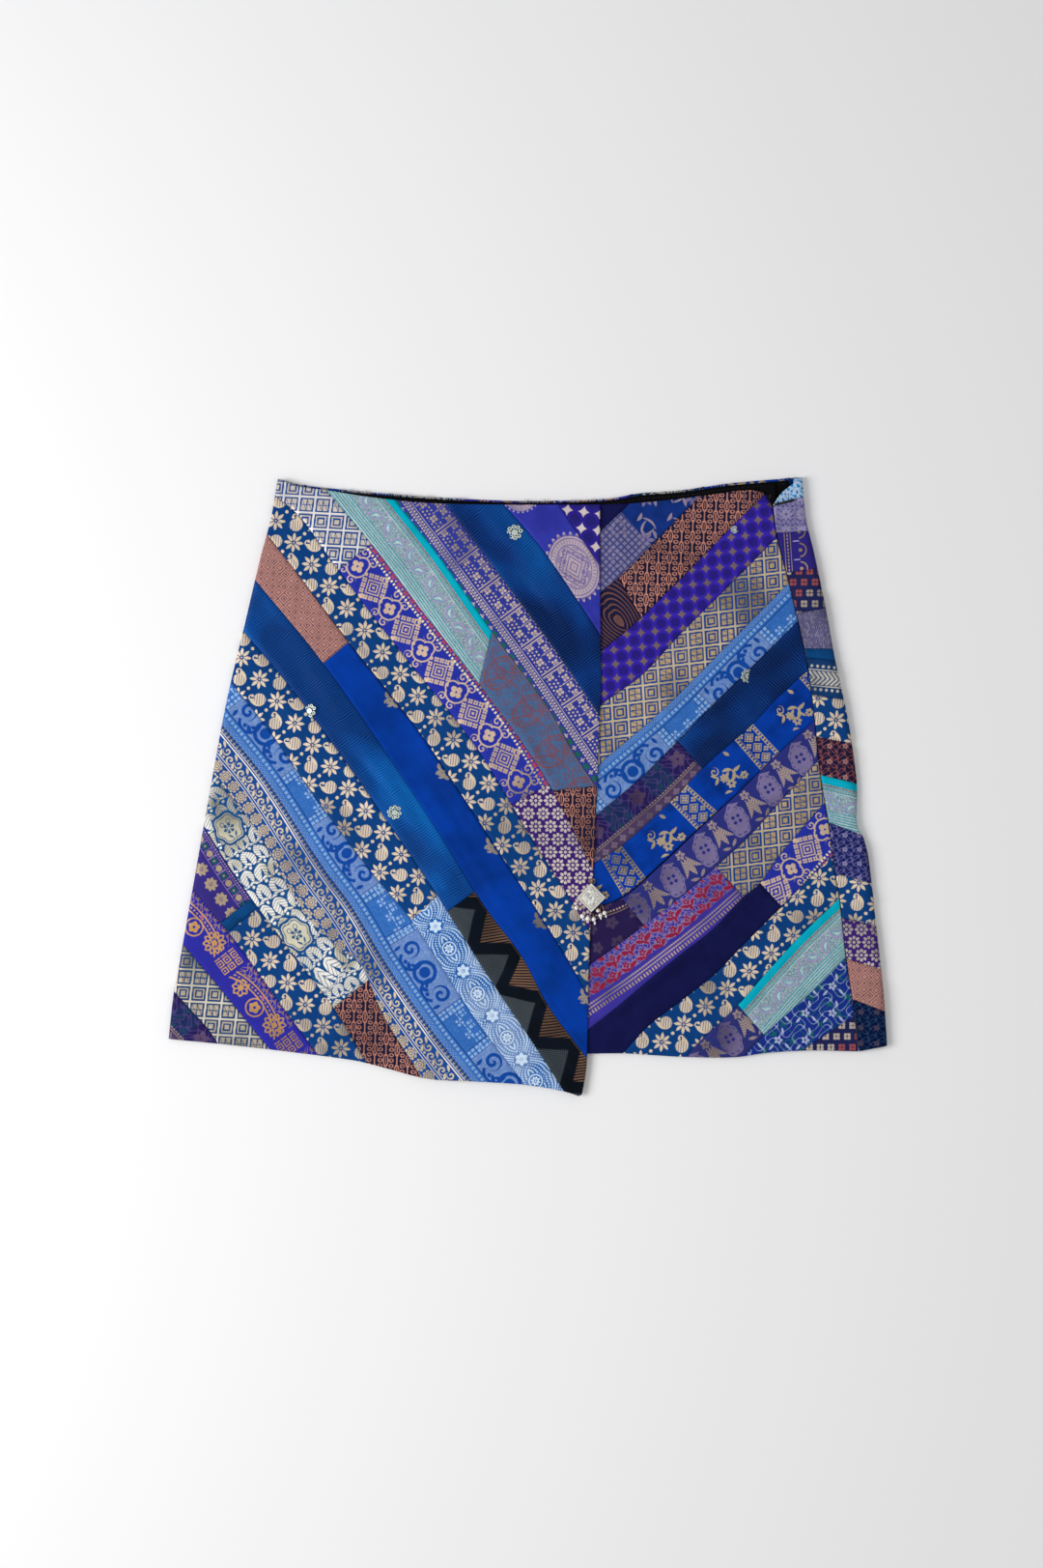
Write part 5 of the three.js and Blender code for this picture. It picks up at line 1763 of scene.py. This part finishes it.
def coverSolid(node, columns, rows):
    # A sheet over the top of a flat CAD solid, found column by column
    low, high, _ = middleOf(node)
    tree = solids[node]
    down = Vector((0, 0, -1))
    columnEnds = []
    for i in range(columns + 1):
        x = low[0] + (high[0] - low[0]) * min(max(i / columns, facing["endShare"]), 1 - facing["endShare"])
        ends = []
        for start, step in ((high[1], -facing["scan"]), (low[1], facing["scan"])):
            y = start
            while tree.ray_cast(Vector((x, y, 0.1)), down)[0] is None and low[1] - mm < y < high[1] + mm:
                y += step
            ends.append(y + math.copysign(facing["inset"], step))
        columnEnds.append((x, *ends))
    bm, weave, _ = newCloth()
    for vert in bmesh.ops.create_grid(bm, x_segments=columns, y_segments=rows, size=0.5)["verts"]:
        i, v = round((vert.co.x + 0.5) * columns), vert.co.y + 0.5
        x, top, bottom = columnEnds[i]
        y = bottom + (top - bottom) * v
        hit = tree.ray_cast(Vector((x, y, 0.1)), down)[0]
        z = hit.z if hit else high[2]
        wave = noise.noise(Vector((x / facing["waveSize"], y / facing["waveSize"] * 2,
                                   1.7))) * facing["wave"]
        dent = math.exp(-((top - y - facing["stitchDown"]) / facing["dentReach"]) ** 2) * facing["dent"]
        vert.co = (x, y, z + facing["rise"] + wave - dent)
        vert[weave] = Vector((x / mm, y / mm, 5))
    faceAlong(bm, bm.faces[:], 1)
    paintFaces(bm.faces, 0)
    return bm, columnEnds


facingMesh, facingColumns = coverSolid("back_facing", facing["columns"], facing["rows"])
waistFacing = finishCloth("waistFacing", facingMesh, [makeFabric("blackTwill")], ["back_facing"])
tapeMesh, _ = coverSolid("placket_tape", 12, 22)
closureTape = finishCloth("closureTape", tapeMesh, [makeFabric("blackTape")], ["placket_tape"])
blackThread = plainMaterial("blackThread", "#0d0d11", 0.75, 0.0, 0.5, 0.05 * mm, 2600)


def sewFacingStitches():
    # A row of small stitches that holds the facing's turned edge
    bm = bmesh.new()
    pitch = facing["stitch"] + facing["stitchGap"]
    top = surfaceOf(waistFacing)
    x = facingColumns[2][0]
    while x < facingColumns[-3][0]:
        i = min(range(len(facingColumns)), key=lambda k: abs(facingColumns[k][0] - x))
        y = facingColumns[i][1] - facing["stitchDown"]
        ends = []
        for share, rise in ((0, -0.1 * mm), (0.3, 0.14 * mm), (0.7, 0.14 * mm), (1, -0.1 * mm)):
            spot = Vector((x + facing["stitch"] * share, y, 0.1))
            hit = top.ray_cast(spot, Vector((0, 0, -1)))[0]
            ends.append(Vector((spot.x, spot.y, (hit.z if hit else 3 * mm) + rise)))
        threadAlong(bm, ends, facing["thread"], 4)
        x += pitch
    finishSmall("facingStitches", bm, blackThread)


sewFacingStitches()

# Closure: a wire hook on the tape, and a thread bar on the return
closure = {"wire": 0.8 * mm, "barWire": 0.85 * mm, "twist": 2.6, "strandAway": 0.36 * mm, "overcast": 15}


def bendHook():
    low, high, middle = middleOf("waist_hook")
    bm = bmesh.new()
    half = (high.x - low.x) / 2 - closure["wire"] / 2
    top, bottom, z = high.y - closure["wire"] / 2, low.y + closure["wire"] / 2, middle.z
    for side in (-1, 1):            # sewn eyes at the top of the two legs
        circle = [Vector((middle.x + side * half + math.cos(a) * 0.9 * mm, top + math.sin(a) * 0.9 * mm
                          - 0.5 * mm, z))
                  for a in (i * math.pi / 5 for i in range(11))]
        threadAlong(bm, circle, closure["wire"] * 0.75, 6)
    legs = [Vector((middle.x - half, top, z)), Vector((middle.x - half, bottom + half, z))]
    legs += [Vector((middle.x - math.cos(a) * half, bottom + half - math.sin(a) * half,
                     z + math.sin(a) * 0.5 * mm))
             for a in (i * math.pi / 8 for i in range(1, 8))]
    legs += [Vector((middle.x + half, bottom + half, z)), Vector((middle.x + half, top, z))]
    threadAlong(bm, legs, closure["wire"], 8)
    tip = [Vector((middle.x, bottom + 0.1 * mm, z)), Vector((middle.x, bottom + 0.5 * mm, z + 0.7 * mm)),
           Vector((middle.x, bottom + 2.4 * mm, z + 0.8 * mm)),
           Vector((middle.x, bottom + 3.2 * mm, z + 0.4 * mm))]
    threadAlong(bm, bentThrough(tip, 3), closure["wire"], 8)
    material = plainMaterial("hookMetal", "#3b3d42", 0.32, 0.9, 0.5, 0.02 * mm, 700)
    finishSmall("waistHook", bm, material, ["waist_hook"])


def twistBar():
    # Two strands wound round each other and overcast, from the placket to the return
    low, high, middle = middleOf("thread_loop")
    start = Vector((low.x + 0.5 * mm, low.y + 0.8 * mm, middle.z))
    end = Vector((high.x - 0.5 * mm, high.y - 0.8 * mm, middle.z))
    along = (end - start).normalized()
    side = along.cross(Vector((0, 0, 1)))
    bm = bmesh.new()
    for phase in (0, 2 * math.pi / 3, 4 * math.pi / 3):
        strand = []
        for i in range(31):
            t = i / 30
            a = phase + t * closure["twist"] * 2 * math.pi
            sag = Vector((0, -0.25 * mm, 0.1 * mm)) * math.sin(math.pi * t)
            strand.append(start + (end - start) * t + sag
                          + (side * math.cos(a) + Vector((0, 0, math.sin(a)))) * closure["strandAway"])
        threadAlong(bm, strand, closure["barWire"], 6)
    for i in range(closure["overcast"]):
        t = (i + 0.5) / closure["overcast"]
        middleHere = start + (end - start) * t + Vector((0, -0.25 * mm, 0.1 * mm)) * math.sin(math.pi * t)
        loop = [middleHere + along * (k / 9 - 0.5) * 0.5 * mm
                + (side * math.cos(k * 0.698) + Vector((0, 0, math.sin(k * 0.698)))) * 0.78 * mm
                for k in range(10)]
        threadAlong(bm, loop, 0.22 * mm, 4)
    for spot in (start, end):       # where the bar is sewn in
        turnedShape(bm, [(0.5 * mm, -0.6 * mm), (0.9 * mm, -0.3 * mm), (0.8 * mm, 0.3 * mm),
                         (0.3 * mm, 0.6 * mm)], 8,
                    Matrix.Translation(spot))
    finishSmall("threadBar", bm, blackThread, ["thread_loop"])


bendHook()
twistBar()

# Brooch: a stepped square frame set on its corner, four cut stones, gold wires and pearl beads
brooch = {
    "steps": ((10.25, 0.0), (10.3, 0.9), (10.0, 1.35), (9.1, 1.55), (8.75, 1.3), (8.55, 0.95),
              (7.85, 0.95), (7.65, 1.5), (7.3, 1.95), (6.5, 2.05), (6.2, 1.7), (6.1, 1.15)),
    "grain": 0.27 * mm, "grainsPerSide": 9, "grainRow": 5.8 * mm, "wall": 0.55 * mm,
    "stoneSteps": ((2.75, 0.0), (2.8, 0.45), (2.2, 0.85), (1.25, 1.1), (0.5, 1.15)),
    "wire": 0.36 * mm, "pearl": 1.5 * mm,
    "pearls": ((596.7, 939.3, 1.0, 604, 936.5), (602.7, 948.0, 1.12, 604.5, 938),
               (608.4, 950.4, 1.05, 611.5, 943.5), (614.5, 951.2, 1.08, 613.5, 944),
               (618.9, 942.2, 0.92, 618.5, 938), (621.4, 947.2, 0.95, 621, 936.5),
               (625.9, 944.7, 1.02, 622.5, 935.5)),
    "drops": ((615.9, 955.2, 0.72), (622.0, 950.0, 0.6), (627.4, 948.2, 0.6), (603.6, 951.4, 0.6)),
}


def makeBroochFrame():
    low, _, middle = middleOf("brooch_frame")
    base = Matrix.Translation((middle.x, middle.y, low.z))    # four sides, corners on the axes
    bm = bmesh.new()
    turnedShape(bm, [(r * mm, h * mm) for r, h in brooch["steps"]], 4, base)
    sharp = [e for e in bm.edges if abs(e.calc_face_angle(0)) > 0.25]
    bmesh.ops.bevel(bm, geom=sharp, offset=0.12 * mm, segments=2, profile=0.5, affect="EDGES")
    reach = brooch["grainRow"]
    for quarter in range(4):
        turn = Matrix.Rotation(quarter * math.pi / 2 + math.pi / 4, 4, "Z")
        for i in range(brooch["grainsPerSide"]):
            across = ((i + 0.5) / brooch["grainsPerSide"] - 0.5) * 2 * reach
            place = base @ turn @ Matrix.Translation((reach, across, 1.0 * mm))
            bmesh.ops.create_icosphere(bm, subdivisions=1, radius=brooch["grain"], matrix=place)
        bar = base @ turn @ Matrix.Translation((2.2 * mm, 0, 1.45 * mm))
        bar = bar @ Matrix.Diagonal((4.4 * mm, brooch["wall"], 0.9 * mm, 1))
        bmesh.ops.create_cube(bm, size=1, matrix=bar)
    silver = plainMaterial("broochSilver", "#f2efe6", 0.28, 0.45, 0.3, 0.04 * mm, 900)
    finishSmall("broochFrame", bm, silver, ["brooch_frame"], soft=False)


def cutStones():
    # the stones' dark patches, down to 0.38 of their colour from a noise, are painted facet reflections
    crystalPaintedReflections = plainMaterial("cutStone", "#f6f4ee", 0.12, 0.1, 0.62, 0.0, 620)
    for i in range(1, 5):
        low, _, middle = middleOf(f"brooch_stone_{i}")
        bm = bmesh.new()
        steps = [(r * mm, h * mm) for r, h in brooch["stoneSteps"]]
        place = Matrix.Translation((middle.x, middle.y, low.z)) @ Matrix.Rotation(math.pi / 8, 4, "Z")
        turnedShape(bm, steps, 8, place)
        corner = Matrix.Translation((middle.x, middle.y, low.z + 0.1 * mm))
        turnedShape(bm, [(2.95 * mm, 0.0), (2.9 * mm, 0.3 * mm), (2.3 * mm, 0.5 * mm)], 4, corner)
        finishSmall(f"broochStone{i}", bm, crystalPaintedReflections, [f"brooch_stone_{i}"], soft=False)


def hangPearls():
    pearls, wires = bmesh.new(), bmesh.new()
    for x, y, scale, fromX, fromY in brooch["pearls"]:
        r = brooch["pearl"] * scale
        place = onCloth(x, y, r * 0.92)
        bmesh.ops.create_uvsphere(pearls, u_segments=14, v_segments=9, radius=r,
                                  matrix=Matrix.Translation(place) @ Matrix.Diagonal((1.0, 1.06, 0.9, 1)))
        held = onCloth(fromX, fromY, 1.3 * mm)
        dip = (held + place) / 2 + Vector((0.2 * mm, -0.2 * mm, 0.9 * mm))
        threadAlong(wires, bentThrough([held, dip, place], 4), brooch["wire"], 6)
        eye = [place + Vector((math.cos(a) * 0.75 * mm, 0.6 * mm, math.sin(a) * 0.75 * mm + 0.5 * mm))
               for a in (k * math.pi / 5 for k in range(11))]
        threadAlong(wires, eye, brooch["wire"] * 0.8, 5)
    for x, y, scale in brooch["drops"]:
        r = brooch["pearl"] * scale
        place = onCloth(x, y, r * 0.9)
        bmesh.ops.create_uvsphere(pearls, u_segments=10, v_segments=7, radius=r,
                                  matrix=Matrix.Translation(place) @ Matrix.Diagonal((0.75, 1.25, 0.8, 1)))
    top = onCloth(612.6, 911.8, 1.0 * mm)
    for side in (-1, 1):            # the wire loop at the frame's top corner
        loop = [top + Vector((side * 0.8 * mm + math.cos(a) * 1.3 * mm, math.sin(a) * 1.7 * mm,
                              math.cos(a) * side * 0.5 * mm))
                for a in (k * math.pi / 8 for k in range(17))]
        threadAlong(wires, loop, brooch["wire"], 6)
    shank = [onCloth(609.3, 909.6, 0.6 * mm), onCloth(612.0, 913.0, 1.6 * mm),
             onCloth(616.2, 910.6, 0.7 * mm)]
    threadAlong(wires, bentThrough(shank, 4), brooch["wire"] * 1.3, 6)
    pearl = plainMaterial("pearlBead", "#f0eeea", 0.28, 0.05, 0.12, 0.0, 500)
    gold = plainMaterial("goldWire", "#b98a45", 0.3, 0.85, 0.4, 0.0, 500)
    finishSmall("pearlBeads", pearls, pearl)
    finishSmall("goldWires", wires, gold)


makeBroochFrame()
cutStones()
hangPearls()

# Sequin flowers: eight small ring sequins round a cup, sewn on with a thread
sequins = {
    "flowers": ((533, 552, 1.0, 0.0, 0.0), (409, 841, 0.92, 0.5, 0.0), (321, 736, 0.9, 0.2, -0.35),
                (773, 700, 0.88, 0.9, 0.5), (760, 549, 0.5, 0.3, 0.2)),
    "ringAt": (4.4, 4.1, 4.25, 4.4, 3.85, 3.8, 3.85, 4.1),
    "ringTurns": (217, 261, 303, 344, 36, 85, 128, 178),
    "ringSteps": ((1.62, 0.1), (1.25, 0.42), (0.62, 0.3), (0.6, 0.12), (1.3, 0.0)),
    "cupSteps": ((0.4, 0.1), (1.2, 0.2), (2.2, 0.62), (2.3, 0.78), (1.9, 0.66), (1.05, 0.4), (0.55, 0.62),
                 (0.3, 0.7)),
}


def sewSequins():
    bm = bmesh.new()
    for x, y, scale, turn, tilt in sequins["flowers"]:
        base = Matrix.Translation(onCloth(x, y, 0.2 * mm)) @ Matrix.Rotation(tilt, 4, "Y")
        base = base @ Matrix.Rotation(turn, 4, "Z") @ Matrix.Scale(scale, 4)
        for away, degrees in zip(sequins["ringAt"], sequins["ringTurns"]):
            a = math.radians(-degrees)
            wobble = Matrix.Rotation(0.14 * math.sin(degrees * 1.7), 4, "X")
            place = base @ Matrix.Translation((math.cos(a) * away * mm, math.sin(a) * away * mm,
                                               0.12 * mm)) @ wobble
            turnedShape(bm, [(r * mm, h * mm) for r, h in sequins["ringSteps"]], 12, place, shut=False)
            threadAlong(bm, [place @ Vector((0, 0, 0.1 * mm)),
                             base @ Vector((math.cos(a) * 2.6 * mm, math.sin(a) * 2.6 * mm, 0.3 * mm))],
                        0.28 * mm, 4)
        turnedShape(bm, [(r * mm, h * mm) for r, h in sequins["cupSteps"]], 16, base)
    mint = plainMaterial("mintSequin", "#cfdcd2", 0.22, 0.3, 0.3, 0.0, 1100)
    finishSmall("sequinFlowers", bm, mint)


sewSequins()

# Raw white threads along the back's waist edge
fray = {"runs": ((350, 482, 120), (536, 640, 80), (300, 340, 14), (700, 760, 20)), "seed": 11,
        "thickness": 0.26 * mm}


def frayWaist():
    dice = random.Random(fray["seed"])
    edge = Line(back["waist"])
    bm = bmesh.new()
    for startX, endX, count in fray["runs"]:
        for _ in range(count):
            px = dice.uniform(startX, endX)
            spot = min(edge.points, key=lambda p: abs(p.x - px))
            root = onCloth(px, spot.y + 1.6, 0.15 * mm)
            root.z = max(root.z, 1.2 * mm)
            reach = dice.uniform(1.6, 3.8) * mm
            lean = dice.uniform(-1.4, 1.4) * mm
            up = dice.uniform(-0.4, 0.7) * mm
            points = [root, root + Vector((lean * 0.3, reach * 0.5, 0.5 * mm)),
                      root + Vector((lean, reach * 0.8, up + 0.4 * mm))]
            threadAlong(bm, bentThrough(points, 2), fray["thickness"], 3)
    white = plainMaterial("rawThread", "#d8d8dc", 0.8, 0.0, 0.3)
    finishSmall("waistFray", bm, white)


frayWaist()

# Table
tableTop = {"half": 3.0, "level": -0.3 * mm, "colour": (0.86, 0.86, 0.87, 1), "roughness": 0.9}
floorMesh = bmesh.new()
bmesh.ops.create_grid(floorMesh, x_segments=1, y_segments=1, size=tableTop["half"])
for vert in floorMesh.verts:
    vert.co.z = tableTop["level"]
floorData = bpy.data.meshes.new("table")
floorMesh.to_mesh(floorData)
floorMesh.free()
table = bpy.data.objects.new("table", floorData)
scene.collection.objects.link(table)
paper = bpy.data.materials.new("tablePaper")
paper.use_nodes = True
paperShader = paper.node_tree.nodes["Principled BSDF"]
paperShader.inputs["Base Color"].default_value = tableTop["colour"]
paperShader.inputs["Roughness"].default_value = tableTop["roughness"]
floorData.materials.append(paper)
